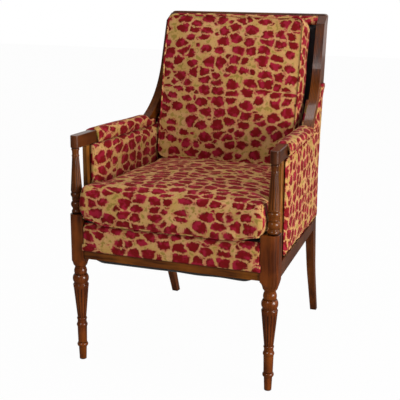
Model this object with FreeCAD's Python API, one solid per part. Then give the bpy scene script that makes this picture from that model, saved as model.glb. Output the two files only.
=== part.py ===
import FreeCAD, Part
import math
import os

# Bergere armchair, in millimetres. X runs across the seat, Y from front to back, Z up.
# The origin lies on the floor, under the middle of the chair.

V = FreeCAD.Vector

# Overall size
overall_width = 586.0
overall_depth = 652.0
overall_height = 936.0

# Fits between pieces
tenon_clearance = 0.15
dowel_clearance = 0.1
screw_clearance = 0.1
soft_clearance = 0.3
cushion_clearance = 0.6

# Plan of the frame
block_size = 44.0
side_setback = 17.0
toe_in = 3.6
face_setback = 2.5

# Front legs
shoulder_height = 275.0
block_bottom = 301.0
block_top = 423.5
block_chamfer = 1.2
block_corner_radius = 19.0
leg_reed_count = 12
leg_reed_depth = 1.1
leg_reed_bottom = 125.0
leg_collar_height = 62.0
leg_shoulder_rise = 8.0
leg_reed_low_radius = 12.3
leg_reed_high_radius = 20.6
neck_radius = 15.0

# Balusters under the arms
baluster_reed_count = 12
baluster_reed_depth = 0.9
baluster_foot_height = 63.5
baluster_head_height = 24.0
baluster_reed_low_radius = 15.8
baluster_reed_high_radius = 9.6
baluster_tenon_radius = 6.5
baluster_tenon_length = 16.0

# Seat rails
rail_bottom = 303.0
front_rail_thickness = 27.0
front_rail_show_height = 22.5
side_rail_outer = 16.0
side_rail_inner = 18.0
side_rail_show_front = 40.0
side_rail_show_rear = 26.0
rear_rail_thickness = 24.0
rear_rail_show_height = 28.0
tenon_thickness = 9.0
tenon_height = 46.0
tenon_length = 14.0
tenon_rise = 14.0
tenon_root = 6.0

# Deck under the seat cushion
deck_front_height = 403.0
deck_setback = 9.0
deck_pitch = 2.0
webbing_thickness = 2.0
webbing_width = 50.0
webbing_end_gap = 1.0
webbing_side_gap = 8.0
burlap_thickness = 1.5
deck_pad_thickness = 10.0
long_webbing_count = 5
cross_webbing_count = 5

# Rear legs and back posts
foot_thickness = 19.0
foot_depth = 20.0
foot_setback = 5.0
post_thickness = 25.0
post_depth = 40.0
post_bend_height = 470.0
post_bend_radius = 300.0
post_inner_bend_radius = 260.0
crest_overhang = 10.5
back_rake = 10.1
sabre_radius = 330.0
sabre_knee_radius = 180.0
sabre_rear_height = 150.0
sabre_rear_reach = 25.0
sabre_rear_start = 320.0
sabre_front_height = 160.0
sabre_front_reach = 33.0
sabre_front_start = 300.0

# Swept stiles that run from the crest down into the arms
stile_thickness = 25.0
stile_depth = 28.0
stile_rake = 17.0
sweep_radius = 250.0
sweep_rise = 144.0
stile_top_drop = 27.0
stile_top_slope = 31.0
dowel_radius = 4.0
dowel_length = 30.0
high_dowel_drop = 40.0
low_dowel_drop = 100.0
foot_dowel_share = 0.6
stile_reed_count = 4
stile_reed_depth = 1.0
stile_edge_margin = 3.0
stile_reed_gap = 0.9

# Arms
arm_bottom = 603.0
arm_thickness = 34.0
arm_width = 25.0
arm_show_length = 103.0
arm_core_thickness = 20.0
arm_edge_radius = 2.5
arm_tenon_half_height = 6.0
stump_thickness = 12.0
stump_depth = 38.0
stump_setback = 23.5
stump_tenon_length = 10.0
stump_tenon_shoulder = 8.0

# Crest and lower back rail
crest_cap_height = 31.0
crest_cap_depth = 21.3
crest_web_thickness = 16.0
crest_web_height = 55.0
crest_edge_radius = 5.0
lower_back_rail_bottom = 425.0
lower_back_rail_height = 45.0
lower_back_rail_thickness = 22.0

# Inside back, on which the loose back cushion leans
lean_rake = 12.5
lean_setback = 50.0
lean_drop = 36.0
inside_back_thickness = 14.0
inside_back_gap = 1.5
inside_back_top_gap = 0.5
band_thickness = 6.0
band_drop = 5.5
outside_back_thickness = 4.0
back_webbing_count = 4
back_webbing_side_gap = 20.0
back_webbing_end_gap = 2.0

# Upholstery of the arms and the front border
inside_arm_outer = 6.0
inside_arm_inner = 24.0
inside_arm_setback = 42.0
inside_arm_rise = 53.0
inside_arm_edge = 7.0
lean_clearance = 0.5
outside_arm_outer = 14.5
outside_arm_overlap = 4.0
outside_arm_rise = 99.0
outside_arm_edge = 3.0
outside_arm_corner = 12.0
sweep_foot_length = 1.0
pad_inner = 21.0
pad_outer = 17.5
pad_height = 45.0
pad_rear_setback = 15.4
pad_roll_radius = 15.0
pad_end_length = 7.0
pad_end_inset = 4.0
border_thickness = 6.0
border_edge_radius = 4.0
gimp_height = 20.0
gimp_thickness = 1.7
dust_cover_thickness = 1.5
dust_cover_margin = 9.0
dust_cover_gap = 1.0

# Seat cushion
seat_cushion_front = 0.8
seat_cushion_rear_gap = 2.0
seat_cushion_boxing = 92.0
seat_cushion_crown = 18.0
seat_cushion_corner = 16.0
seat_cushion_knee = 60.0
cushion_edge_radius = 16.0
cushion_crown_reach = 110.0
cover_thickness = 3.0

# Back cushion
back_cushion_side_gap = 40.9
back_cushion_boxing = 84.0
back_cushion_crown = 14.0
back_cushion_corner = 28.0
back_cushion_drop = 26.0
back_cushion_sink = 2.5

# Corner blocks and their screws
corner_block_leg = 62.0
corner_block_height = 45.0
corner_block_lift = 6.0
screw_radius = 2.2
screw_head_radius = 4.2
screw_head_height = 3.0
screw_length = 36.0
screw_head_depth = 5.0
screw_offset = 8.0
screw_share = 0.28
screw_driver_room = 40.0

# Places that follow from the sizes above
front_y = -overall_depth / 2
rear_y = overall_depth / 2
leg_x = overall_width / 2 - block_size / 2
leg_y = front_y + block_size / 2
side_x = overall_width / 2 - side_setback
side_slope = math.tan(math.radians(toe_in))
deck_slope = math.tan(math.radians(deck_pitch))
back_slope = math.tan(math.radians(back_rake))
lean_slope = math.tan(math.radians(lean_rake))
arm_top = arm_bottom + arm_thickness
arm_core_top = arm_bottom + arm_core_thickness
arm_front_y = leg_y - arm_width / 2
arm_show_end = arm_front_y + arm_show_length
face_y = front_y + face_setback
deck_front_y = front_y + deck_setback
webbing_drop = deck_pad_thickness + burlap_thickness + 2 * webbing_thickness
block_inner_x = leg_x - block_size / 2
block_rear_y = leg_y + block_size / 2
leg_reed_top = shoulder_height - leg_collar_height
baluster_reed_bottom = block_top + baluster_foot_height
baluster_reed_top = arm_bottom - baluster_head_height
post_top = overall_height - crest_cap_height
post_rear = rear_y - crest_overhang - back_slope * (post_top - post_bend_height)
post_front = post_rear - post_depth
foot_rear = rear_y - foot_setback
stile_top = overall_height - stile_top_drop
stile_lean = math.tan(math.radians(stile_rake))
stile_reach = stile_depth / math.cos(math.radians(stile_rake))
sweep_start_height = arm_top + sweep_rise
sweep_start_y = rear_y - crest_cap_depth - stile_reach - stile_lean * (overall_height - sweep_start_height)
stump_front = block_rear_y + stump_setback
inside_arm_front = block_rear_y + inside_arm_setback
inside_arm_top = arm_top + inside_arm_rise
outside_arm_top = arm_top + outside_arm_rise
crest_web_bottom = post_top - crest_web_height
crest_half_width = side_x - side_slope * (rear_y - leg_y)
crest_half_width = crest_half_width + stile_thickness / 2 / math.cos(math.radians(toe_in))
lean_y = rear_y - lean_setback
lean_height = overall_height - lean_drop
lean_foot_y = lean_y - lean_slope * (lean_height - deck_front_height - deck_slope * front_y)
lean_foot_y = lean_foot_y / (1 + lean_slope * deck_slope)
band_top = overall_height - band_drop
seat_cushion_rear = lean_foot_y - seat_cushion_rear_gap
back_cushion_half_width = crest_half_width - back_cushion_side_gap
post_front_in_plan = leg_y + (post_front - leg_y) * math.cos(math.radians(toe_in))
post_front_in_plan = post_front_in_plan - post_thickness / 2 * math.sin(math.radians(toe_in))
rear_rail_front = post_rear - rear_rail_thickness
crest_tip_y = rear_y + crest_edge_radius * (1 / math.tan(math.radians(45.0 - stile_rake / 2)) - 1)
lean_thickness_y = inside_back_thickness / math.cos(math.radians(lean_rake))
webbing_thickness_y = webbing_thickness / math.cos(math.radians(lean_rake))

pieces = {}


def keep(name, shape):
    pieces[name] = shape


def side_place(x):
    return lambda point: V(x, point[0], point[1])


def plan_place(z):
    return lambda point: V(point[0], point[1], z)


def flat_outline(points, radii, place):
    """Closed outline with straight sides and rounded corners; radius 0 keeps a corner sharp."""
    count = len(points)
    corners = []
    for index, here in enumerate(points):
        radius = radii[index] if isinstance(radii, (list, tuple)) else radii
        before = V(points[index - 1][0], points[index - 1][1], 0)
        after = V(points[(index + 1) % count][0], points[(index + 1) % count][1], 0)
        tip = V(here[0], here[1], 0)
        if radius <= 0:
            corners.append((tip, None, tip))
            continue
        back = (before - tip).normalize()
        ahead = (after - tip).normalize()
        middle = (back + ahead).normalize()
        half_angle = back.getAngle(ahead) / 2
        reach = radius / math.tan(half_angle)
        centre = tip + middle * (radius / math.sin(half_angle))
        corners.append((tip + back * reach, centre - middle * radius, tip + ahead * reach))
    edges = []
    for index, (start, bulge, end) in enumerate(corners):
        previous_end = corners[index - 1][2]
        if (start - previous_end).Length > 1e-6:
            edges.append(Part.LineSegment(place(previous_end), place(start)).toShape())
        if bulge is not None:
            edges.append(Part.Arc(place(start), place(bulge), place(end)).toShape())
    return Part.Wire(edges)


def side_board(points, radii, inner, outer):
    """Board whose outline is seen from the side, with points (y, z), between two planes of x."""
    wire = flat_outline(points, radii, side_place(inner))
    return Part.Face(wire).extrude(V(outer - inner, 0, 0))


def plan_board(points, radii, bottom, top):
    """Board whose outline is seen from above, with points (x, y), between two heights."""
    wire = flat_outline(points, radii, plan_place(bottom))
    return Part.Face(wire).extrude(V(0, 0, top - bottom))


def block(x_low, x_high, y_low, y_high, z_low, z_high):
    corner = V(x_low, y_low, z_low)
    return Part.makeBox(x_high - x_low, y_high - y_low, z_high - z_low, corner)


def mirror_x(shape):
    return shape.mirror(V(0, 0, 0), V(1, 0, 0))


def on_side(shape, side):
    """Put a piece of the side frame, drawn about x = 0, on the right or left of the chair."""
    placed = shape.copy()
    placed.rotate(V(0, leg_y, 0), V(0, 0, 1), toe_in)
    placed.translate(V(side_x, 0, 0))
    return placed if side == "right" else mirror_x(placed)


def keep_pair(name, shape):
    for side in ("left", "right"):
        keep(name + "_" + side, on_side(shape, side))


def side_plane_x(y, offset):
    """Distance from the middle of the chair to a plane of the side frame, at one depth."""
    return side_x - side_slope * (y - leg_y) + offset / math.cos(math.radians(toe_in))


def plan_between_sides(y_low, y_high, offset):
    """Plan outline that reaches a plane of both side frames."""
    low = side_plane_x(y_low, offset)
    high = side_plane_x(y_high, offset)
    return [(-low, y_low), (low, y_low), (high, y_high), (-high, y_high)]


def deck_z(y):
    return deck_front_height - deck_slope * (y - front_y)


def lean_plane_y(z):
    return lean_y - lean_slope * (lean_height - z)


def turned(profile):
    """Solid of revolution about Z. Each point is radius, height and the bulge of the stretch to it."""
    edges = []
    start = V(0, 0, profile[0][1])
    for radius, height, bulge in profile:
        end = V(radius, 0, height)
        if (end - start).Length < 1e-6:
            continue
        if bulge == 0:
            edges.append(Part.LineSegment(start, end).toShape())
        else:
            along = end - start
            outward = V(along.z, 0, -along.x).normalize()
            middle = (start + end) * 0.5 + outward * bulge
            edges.append(Part.Arc(start, middle, end).toShape())
        start = end
    edges.append(Part.LineSegment(start, V(0, 0, start.z)).toShape())
    edges.append(Part.LineSegment(V(0, 0, start.z), V(0, 0, profile[0][1])).toShape())
    face = Part.Face(Part.Wire(edges))
    return face.revolve(V(0, 0, 0), V(0, 0, 1), 360)


def reeded_wire(radius, depth, count, height):
    """Outline of a reeded turning: arcs that bulge between shallow grooves."""
    step = 2 * math.pi / count
    edges = []
    for index in range(count):
        angles = [index * step, (index + 0.5) * step, (index + 1) * step]
        reaches = [radius - depth, radius, radius - depth]
        points = [V(r * math.cos(a), r * math.sin(a), height) for r, a in zip(reaches, angles)]
        edges.append(Part.Arc(points[0], points[1], points[2]).toShape())
    return Part.Wire(edges)


def reeded_taper(low_radius, high_radius, depth, count, bottom, top):
    low = reeded_wire(low_radius, depth, count, bottom)
    high = reeded_wire(high_radius, depth, count, top)
    return Part.makeLoft([low, high], True, True)


def front_leg():
    """Turned, reeded leg under a block with a wide outer front corner, drawn about the Z axis."""
    foot = turned([
        (8.2, 0, 0), (9.7, 1.8, 0.6), (11.0, 36.5, 0),
        (11.0, 37.5, 0), (11.0, 51.0, 4.1),
        (12.3, 52.0, 0), (13.2, 97.5, 0),
        (13.2, 108.5, 1.9), (12.6, 109.5, 0), (12.4, 118.0, 0),
        (12.4, leg_reed_bottom, 1.5),
    ])
    reeds = reeded_taper(leg_reed_low_radius, leg_reed_high_radius, leg_reed_depth,
                         leg_reed_count, leg_reed_bottom, leg_reed_top)
    collar = turned([
        (20.4, leg_reed_top, 0), (21.1, leg_reed_top + 6.0, 0.3),
        (21.0, leg_reed_top + 10.0, 0.5), (18.8, leg_reed_top + 13.0, -0.6),
        (18.8, leg_reed_top + 15.0, 0), (18.8, leg_reed_top + 37.5, 3.3),
        (16.2, leg_reed_top + 39.0, 0), (16.2, leg_reed_top + 55.5, 1.6),
        (neck_radius, leg_reed_top + 57.0, 0), (neck_radius, shoulder_height, 0),
    ])
    corner_reach = block_size * math.sqrt(0.5) + 0.5
    shoulder = turned([
        (neck_radius, shoulder_height, 0), (20.0, shoulder_height + leg_shoulder_rise, 0.9),
        (corner_reach, block_bottom, -2.0), (corner_reach, block_top, 0),
    ])
    half = block_size / 2
    square = plan_board([(-half, -half), (half, -half), (half, half), (-half, half)],
                        [0, block_corner_radius, 0, 0], shoulder_height, block_top)
    top_edges = [edge for edge in square.Edges if edge.BoundBox.ZMin > block_top - 0.1]
    square = square.makeChamfer(block_chamfer, top_edges)
    return foot.fuse([reeds, collar, shoulder.common(square)]).removeSplitter()


def baluster():
    """Turned and reeded support between the leg's block and the arm, with a round tenon at each end."""
    tenon = baluster_tenon_radius
    foot = turned([
        (tenon, block_top - baluster_tenon_length, 0), (tenon, block_top, 0),
        (13.2, block_top, 0), (13.2, block_top + 10.0, 1.6), (12.0, block_top + 12.5, -0.4),
        (12.0, block_top + 15.5, 0), (12.0, block_top + 35.0, 4.2), (13.0, block_top + 37.5, 0),
        (13.4, block_top + 45.0, -0.4), (13.6, block_top + 46.0, 0), (13.8, block_top + 59.0, 2.6),
        (14.6, block_top + 60.0, 0), (15.0, baluster_reed_bottom, 0.4),
    ])
    reeds = reeded_taper(baluster_reed_low_radius, baluster_reed_high_radius, baluster_reed_depth,
                         baluster_reed_count, baluster_reed_bottom, baluster_reed_top)
    head = turned([
        (9.2, baluster_reed_top, 0), (9.2, baluster_reed_top + 5.5, 1.2), (9.0, baluster_reed_top + 6.5, 0),
        (9.4, arm_bottom - 7.0, 0), (9.4, arm_bottom - 1.0, 1.6), (9.4, arm_bottom, 0),
        (tenon, arm_bottom, 0),
        (tenon, arm_bottom + baluster_tenon_length, 0),
    ])
    return foot.fuse([reeds, head]).removeSplitter()


def tenon_socket(tenon):
    """The mortise for a box tenon, larger than it by the clearance all round."""
    box = tenon.BoundBox
    c = tenon_clearance
    return block(box.XMin - c, box.XMax + c, box.YMin - c, box.YMax + c, box.ZMin - c, box.ZMax + c)


def front_rail_tenon():
    """Tenon at the right end of the front rail."""
    low_y = leg_y - tenon_thickness / 2 - 4.0
    low_z = rail_bottom + tenon_rise
    return block(block_inner_x, block_inner_x + tenon_length, low_y, low_y + tenon_thickness,
                 low_z, low_z + tenon_height)


def side_rail_tenon(rear):
    """Tenon at the front or rear end of a side rail, drawn about x = 0."""
    low_y = post_front if rear else block_rear_y - tenon_length - 2.0
    high_y = post_front + tenon_length if rear else block_rear_y + tenon_root
    low_z = rail_bottom + tenon_rise
    half = tenon_thickness / 2
    return block(-half, half, low_y, high_y, low_z, low_z + tenon_height)


def front_seat_rail():
    top = deck_z(deck_front_y + front_rail_thickness) - webbing_drop
    fabric_y = face_y + border_thickness
    rear_face = face_y + front_rail_thickness
    show_top = rail_bottom + front_rail_show_height
    rail = side_board([
        (face_y, rail_bottom), (rear_face, rail_bottom), (rear_face, top),
        (fabric_y, top + deck_slope * (rear_face - fabric_y)), (fabric_y, show_top), (face_y, show_top),
    ], 0, -block_inner_x, block_inner_x)
    tenon = front_rail_tenon()
    return rail.fuse([tenon, mirror_x(tenon)])


def side_rail():
    """Side rail, drawn about x = 0: a show-wood strip below a recessed part for the fabric."""
    front = block_rear_y - 1.5
    show_front = rail_bottom + side_rail_show_front
    show_rear = rail_bottom + side_rail_show_rear
    lower = side_board([
        (front, rail_bottom), (post_front, rail_bottom), (post_front, show_rear), (front, show_front),
    ], 0, -side_rail_inner, side_rail_outer)
    upper = side_board([
        (front, rail_bottom), (post_front, rail_bottom), (post_front, deck_z(post_front) - webbing_drop),
        (front, deck_z(front) - webbing_drop),
    ], 0, -side_rail_inner, stump_thickness / 2)
    return lower.fuse([upper, side_rail_tenon(False), side_rail_tenon(True)])


def rear_rail_board():
    top = deck_z(post_rear) - webbing_drop
    fabric_y = post_rear - outside_back_thickness
    show_top = rail_bottom + rear_rail_show_height
    profile = side_board([
        (rear_rail_front, rail_bottom), (post_rear, rail_bottom), (post_rear, show_top),
        (fabric_y, show_top), (fabric_y, top), (rear_rail_front, top + deck_slope * rear_rail_thickness),
    ], 0, -side_x, side_x)
    plan = plan_board(plan_between_sides(rear_rail_front - 5, post_rear + 5, -post_thickness / 2), 0,
                      rail_bottom - 5, top + 20)
    return profile.common(plan)


def rear_rail_tenon():
    """Tenon at the right end of the rear rail, square to the leg's inner face."""
    low_y = rear_rail_front + 3.0
    low_z = rail_bottom + tenon_rise
    inner = -post_thickness / 2
    return block(inner - tenon_root, inner + 10.0, low_y, low_y + tenon_thickness,
                 low_z, low_z + tenon_height - 8.0)


def rear_seat_rail():
    tenon = rear_rail_tenon()
    return rear_rail_board().fuse([on_side(tenon, "right"), on_side(tenon, "left")])


def sweep_centre():
    rake = math.radians(stile_rake)
    return (sweep_start_y - sweep_radius * math.cos(rake),
            sweep_start_height + sweep_radius * math.sin(rake))


def sweep_point(radius, angle):
    """Point on an arc about the sweep's centre; the angle is below the horizontal, in radians."""
    centre = sweep_centre()
    return (centre[0] + radius * math.cos(angle), centre[1] - radius * math.sin(angle))


def sweep_angle_at(radius, height):
    return math.asin((sweep_centre()[1] - height) / radius)


def sweep_y_at(radius, height):
    return sweep_point(radius, sweep_angle_at(radius, height))[0]


def stile_line_y(offset, height):
    """Depth of the straight upper part of the stile, so far behind its front face."""
    reach = offset / math.cos(math.radians(stile_rake))
    return sweep_start_y + stile_lean * (height - sweep_start_height) + reach


def stile_rear(height):
    """Point on the stile's rear edge, and the direction into the post there."""
    radius = sweep_radius + stile_depth
    angle = math.radians(stile_rake)
    y = stile_line_y(stile_depth, height)
    if height < sweep_point(radius, angle)[1]:
        angle = sweep_angle_at(radius, height)
        y = sweep_y_at(radius, height)
    return V(0, y, height), V(0, math.cos(angle), -math.sin(angle))


def stile_outline(front_offset, rear_offset, x):
    """Side outline of the swept stile between two offsets from its front face."""
    rake = math.radians(stile_rake)
    slope = math.tan(math.radians(stile_top_slope))
    tops = []
    arcs = []
    for offset in (front_offset, rear_offset):
        reach = offset / math.cos(rake)
        rise = slope * reach / (1 - slope * stile_lean)
        tops.append((stile_line_y(0, stile_top) + reach + stile_lean * rise, stile_top + rise))
        radius = sweep_radius + offset
        low_angle = sweep_angle_at(radius, arm_core_top)
        arcs.append([sweep_point(radius, angle) for angle in (rake, (rake + low_angle) / 2, low_angle)])
    p = side_place(x)
    front, rear = arcs
    return Part.Wire([
        Part.LineSegment(p(tops[0]), p(front[0])).toShape(),
        Part.Arc(p(front[0]), p(front[1]), p(front[2])).toShape(),
        Part.LineSegment(p(front[2]), p(rear[2])).toShape(),
        Part.Arc(p(rear[2]), p(rear[1]), p(rear[0])).toShape(),
        Part.LineSegment(p(rear[0]), p(tops[1])).toShape(),
        Part.LineSegment(p(tops[1]), p(tops[0])).toShape(),
    ])


def stile_strip(front_offset, rear_offset, inner, outer):
    return Part.Face(stile_outline(front_offset, rear_offset, inner)).extrude(V(outer - inner, 0, 0))


def stile_body():
    """Swept stile with a reeded front face, drawn about x = 0."""
    half = stile_thickness / 2
    body = stile_strip(stile_reed_depth, stile_depth, -half, half)
    reed_width = (stile_thickness - 2 * stile_edge_margin - (stile_reed_count + 1) * stile_reed_gap)
    reed_width = reed_width / stile_reed_count
    reed_root = 3 * stile_reed_depth
    strips = [
        stile_strip(0, reed_root, -half, -half + stile_edge_margin),
        stile_strip(0, reed_root, half - stile_edge_margin, half),
    ]
    for index in range(stile_reed_count):
        start = -half + stile_edge_margin + stile_reed_gap + index * (reed_width + stile_reed_gap)
        strips.append(stile_strip(0, reed_root, start, start + reed_width))
    return body.fuse(strips)


def stile_space(ahead):
    """Room that the stile takes from its neighbours, reaching so far ahead of its front face."""
    half = stile_thickness / 2
    return stile_strip(-ahead, stile_depth, -half, half)


def stile_dowels():
    """Dowels from the stile into the arm below it and the post behind it, drawn about x = 0."""
    foot_front = sweep_y_at(sweep_radius, arm_core_top)
    foot_back = sweep_y_at(sweep_radius + stile_depth, arm_core_top)
    foot_y = (foot_front + foot_back) / 2 + foot_dowel_share * stile_depth
    dowels = [Part.makeCylinder(dowel_radius, dowel_length, V(0, foot_y, arm_core_top - dowel_length / 2))]
    for drop in (low_dowel_drop, high_dowel_drop):
        seat, into_post = stile_rear(post_top - drop)
        start = seat - into_post * (dowel_length / 2)
        dowels.append(Part.makeCylinder(dowel_radius, dowel_length, start, into_post))
    return dowels


def dowel_holes():
    """Room for the dowels, larger by the clearance."""
    holes = []
    for dowel in stile_dowels():
        axis = dowel.Faces[0].Surface
        length = dowel_length + 2 * dowel_clearance
        centre = dowel.CenterOfMass
        direction = V(axis.Axis.x, axis.Axis.y, axis.Axis.z)
        holes.append(Part.makeCylinder(dowel_radius + dowel_clearance, length,
                                       centre - direction * (length / 2), direction))
    return holes


def post_rear_y(z):
    return post_rear + back_slope * max(0.0, z - post_bend_height)


def post_board():
    """Rear leg and back post in one piece, drawn about x = 0, before its joints are cut."""
    half = post_thickness / 2
    foot_front = foot_rear - foot_depth
    rise = post_top - post_bend_height
    board = side_board([
        (foot_rear, 0), (post_rear + sabre_rear_reach, sabre_rear_height), (post_rear, sabre_rear_start),
        (post_rear, post_bend_height), (post_rear + back_slope * rise, post_top),
        (post_front + back_slope * rise, post_top), (post_front, post_bend_height),
        (post_front, sabre_front_start), (post_front + sabre_front_reach, sabre_front_height),
        (foot_front, 0),
    ], [0, sabre_radius, sabre_radius, post_bend_radius, 0, 0, post_inner_bend_radius,
        sabre_knee_radius, sabre_radius, 0], -half, half)
    taper = Part.Face(Part.makePolygon([
        V(-half, 0, rail_bottom), V(half, 0, rail_bottom), V(half, 0, 0), V(half - foot_thickness, 0, 0),
        V(-half, 0, rail_bottom),
    ])).extrude(V(0, overall_depth, 0))
    upper = block(-half, half, 0, overall_depth, rail_bottom, overall_height)
    return board.common(taper.fuse(upper)).cut(stile_space(stile_depth / 2))


def post_tenon():
    """Tenon on top of the post, which the crest rail sits on."""
    rear = post_rear_y(post_top)
    half = tenon_thickness / 2
    return block(-half, half, rear - 14.0, rear - 5.0, post_top, post_top + tenon_length)


def arm_tenon():
    """Tenon at the rear end of the arm, into the post."""
    middle = arm_bottom + arm_core_thickness / 2
    y = post_rear_y(middle) - post_depth
    half = tenon_thickness / 2
    return block(-half, half, y - tenon_root, y + tenon_length,
                 middle - arm_tenon_half_height, middle + arm_tenon_half_height)


def lower_back_tenon():
    inner = -post_thickness / 2
    y = post_front + 1.5
    low = lower_back_rail_bottom + 8.0
    return block(inner - tenon_root, inner + 9.0, y, y + 8.0, low, low + lower_back_rail_height - 16.0)


def rear_leg():
    leg = post_board().fuse(post_tenon())
    for tenon in (arm_tenon(), lower_back_tenon(), rear_rail_tenon(), side_rail_tenon(True)):
        leg = leg.cut(tenon_socket(tenon))
    return leg.cut(outside_arm_space()).cut(Part.makeCompound(dowel_holes()))


def stile():
    return stile_body().cut(Part.makeCompound(dowel_holes()))


def arm_body():
    """Handhold cap at the front, then a thinner rail under the pad that runs back to the post."""
    half = arm_width / 2
    cap = block(-half, half, leg_y, arm_show_end, arm_bottom, arm_top)
    cap = cap.fuse(Part.makeCylinder(half, arm_thickness, V(0, leg_y, arm_bottom))).removeSplitter()
    level_edges = [edge for edge in cap.Edges
                   if edge.BoundBox.ZLength < 0.1 and edge.BoundBox.YMin < arm_show_end - 1]
    cap = cap.makeFillet(arm_edge_radius, level_edges)
    inner = -stile_thickness / 2
    stile_end = sweep_y_at(sweep_radius + stile_depth, arm_core_top) + sweep_foot_length
    wide = block(inner, -inner, arm_show_end, stile_end, arm_bottom, arm_core_top)
    narrow = block(inner, stump_thickness / 2, arm_show_end, post_rear, arm_bottom, arm_core_top)
    core = wide.fuse(narrow).cut(post_board())
    return cap.fuse([core, arm_tenon()])


def arm_rail():
    """Arm with its sockets for the baluster, the stump and the stile's dowel."""
    tip = Part.makeCylinder(baluster_tenon_radius + tenon_clearance,
                            baluster_tenon_length + tenon_clearance, V(0, leg_y, arm_bottom))
    holes = Part.makeCompound(dowel_holes())
    return arm_body().cut(tip).cut(tenon_socket(stump_tenon(True))).cut(holes)


def stump_tenon(top):
    """Tenon at either end of the arm stump."""
    half = stump_thickness / 4
    low_y = stump_front + stump_tenon_shoulder
    high_y = stump_front + stump_depth - stump_tenon_shoulder
    if top:
        return block(-half, half, low_y, high_y, arm_bottom, arm_bottom + stump_tenon_length)
    rail_top = deck_z(high_y) - webbing_drop
    return block(-half, half, low_y, high_y, rail_top - stump_tenon_length, rail_top + 2.0)


def arm_stump():
    """Flat support behind the baluster, from the side rail up to the arm, drawn about x = 0."""
    half = stump_thickness / 2
    rear = stump_front + stump_depth
    board = side_board([
        (stump_front, deck_z(stump_front) - webbing_drop), (rear, deck_z(rear) - webbing_drop),
        (rear, arm_bottom), (stump_front, arm_bottom),
    ], 0, -half, half)
    return board.fuse([stump_tenon(True), stump_tenon(False)])


def between_sides(offset, bottom, top):
    """Prism between the two side frames, up to a plane of each."""
    return plan_board(plan_between_sides(front_y, rear_y, offset), 0, bottom, top)


def crest_rail():
    """Crest: a rounded cap over the posts and stiles, and a web between the posts."""
    cap_top = overall_height
    cap_front = stile_line_y(stile_depth, post_top)
    cap = side_board([
        (cap_front, post_top), (crest_tip_y - stile_lean * crest_cap_height, post_top),
        (crest_tip_y, cap_top), (stile_line_y(stile_depth, cap_top), cap_top),
    ], [0, 0, crest_edge_radius, crest_edge_radius], -crest_half_width, crest_half_width)
    ends = Part.Face(flat_outline([
        (-crest_half_width, post_top), (crest_half_width, post_top), (crest_half_width, cap_top),
        (-crest_half_width, cap_top),
    ], [0, 0, 2 * crest_edge_radius, 2 * crest_edge_radius], lambda q: V(q[0], 0, q[1])))
    cap = cap.common(ends.extrude(V(0, overall_depth, 0)))
    web = back_member(crest_web_bottom, post_top, crest_web_thickness)
    crest = cap.fuse(web)
    for side in ("left", "right"):
        crest = crest.cut(on_side(tenon_socket(post_tenon()), side))
    return crest


def lean_rear_y(z):
    """Depth of the back of the padding and webbing behind the loose cushion."""
    return lean_plane_y(z) + inside_back_gap + lean_thickness_y + webbing_thickness_y


def back_member(bottom, top, thickness):
    """Raked board between the posts, whose front face carries the back webbing."""
    board = side_board([
        (lean_rear_y(bottom), bottom), (lean_rear_y(bottom) + thickness, bottom),
        (lean_rear_y(top) + thickness, top), (lean_rear_y(top), top),
    ], 0, -side_x, side_x)
    return board.common(between_sides(-post_thickness / 2, bottom - 1, top + 1))


def lower_back_rail():
    top = lower_back_rail_bottom + lower_back_rail_height
    board = back_member(lower_back_rail_bottom, top, lower_back_rail_thickness)
    tenon = lower_back_tenon()
    return board.fuse([on_side(tenon, "right"), on_side(tenon, "left")])


def deck_plan(y_front, y_rear, gap):
    """Plan of a deck layer, which fits round the leg blocks, the stumps and the rear posts."""
    side = -stump_thickness / 2 - gap
    post = -post_thickness / 2 - gap
    front_x = block_inner_x - gap
    knee_y = block_rear_y + gap
    notch_y = post_front_in_plan - gap
    right = [(front_x, y_front), (front_x, knee_y), (side_plane_x(knee_y, side), knee_y),
             (side_plane_x(notch_y, side), notch_y), (side_plane_x(notch_y, post), notch_y),
             (side_plane_x(y_rear, post), y_rear)]
    return right + [(-x, y) for x, y in reversed(right)]


def deck_slab(x_low, x_high, y_low, y_high, low, high):
    """Slab that follows the deck's pitch, between two heights measured from its surface."""
    return side_board([
        (y_low, deck_z(y_low) + low), (y_high, deck_z(y_high) + low),
        (y_high, deck_z(y_high) + high), (y_low, deck_z(y_low) + high),
    ], 0, x_low, x_high)


def deck_layer(low, high):
    y_front = face_y + border_thickness
    y_rear = post_rear - outside_back_thickness - soft_clearance
    plan = deck_plan(y_front, y_rear, soft_clearance)
    prism = plan_board(plan, 0, rail_bottom, deck_front_height + 20)
    return deck_slab(-side_x, side_x, y_front, y_rear, low, high).common(prism)


def seat_webbing():
    """Webbing straps that run from the front rail to the rear rail."""
    y_front = face_y + border_thickness + webbing_end_gap
    y_rear = post_rear - outside_back_thickness - webbing_end_gap
    span = side_plane_x(y_rear, -post_thickness / 2) - webbing_width / 2 - webbing_side_gap
    straps = []
    for index in range(long_webbing_count):
        x = -span + 2 * span * index / (long_webbing_count - 1)
        straps.append(deck_slab(x - webbing_width / 2, x + webbing_width / 2, y_front, y_rear,
                                -webbing_drop, -webbing_drop + webbing_thickness))
    return Part.makeCompound(straps)


def cross_webbing():
    """Webbing straps between the side rails, over the long ones."""
    first = block_rear_y + webbing_width
    last = post_front - webbing_width
    prism = between_sides(-stump_thickness / 2 - soft_clearance, rail_bottom, deck_front_height)
    straps = []
    for index in range(cross_webbing_count):
        y = first + (last - first) * index / (cross_webbing_count - 1)
        strap = deck_slab(-side_x, side_x, y - webbing_width / 2, y + webbing_width / 2,
                          -webbing_drop + webbing_thickness, -webbing_drop + 2 * webbing_thickness)
        straps.append(strap.common(prism))
    return Part.makeCompound(straps)


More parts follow.
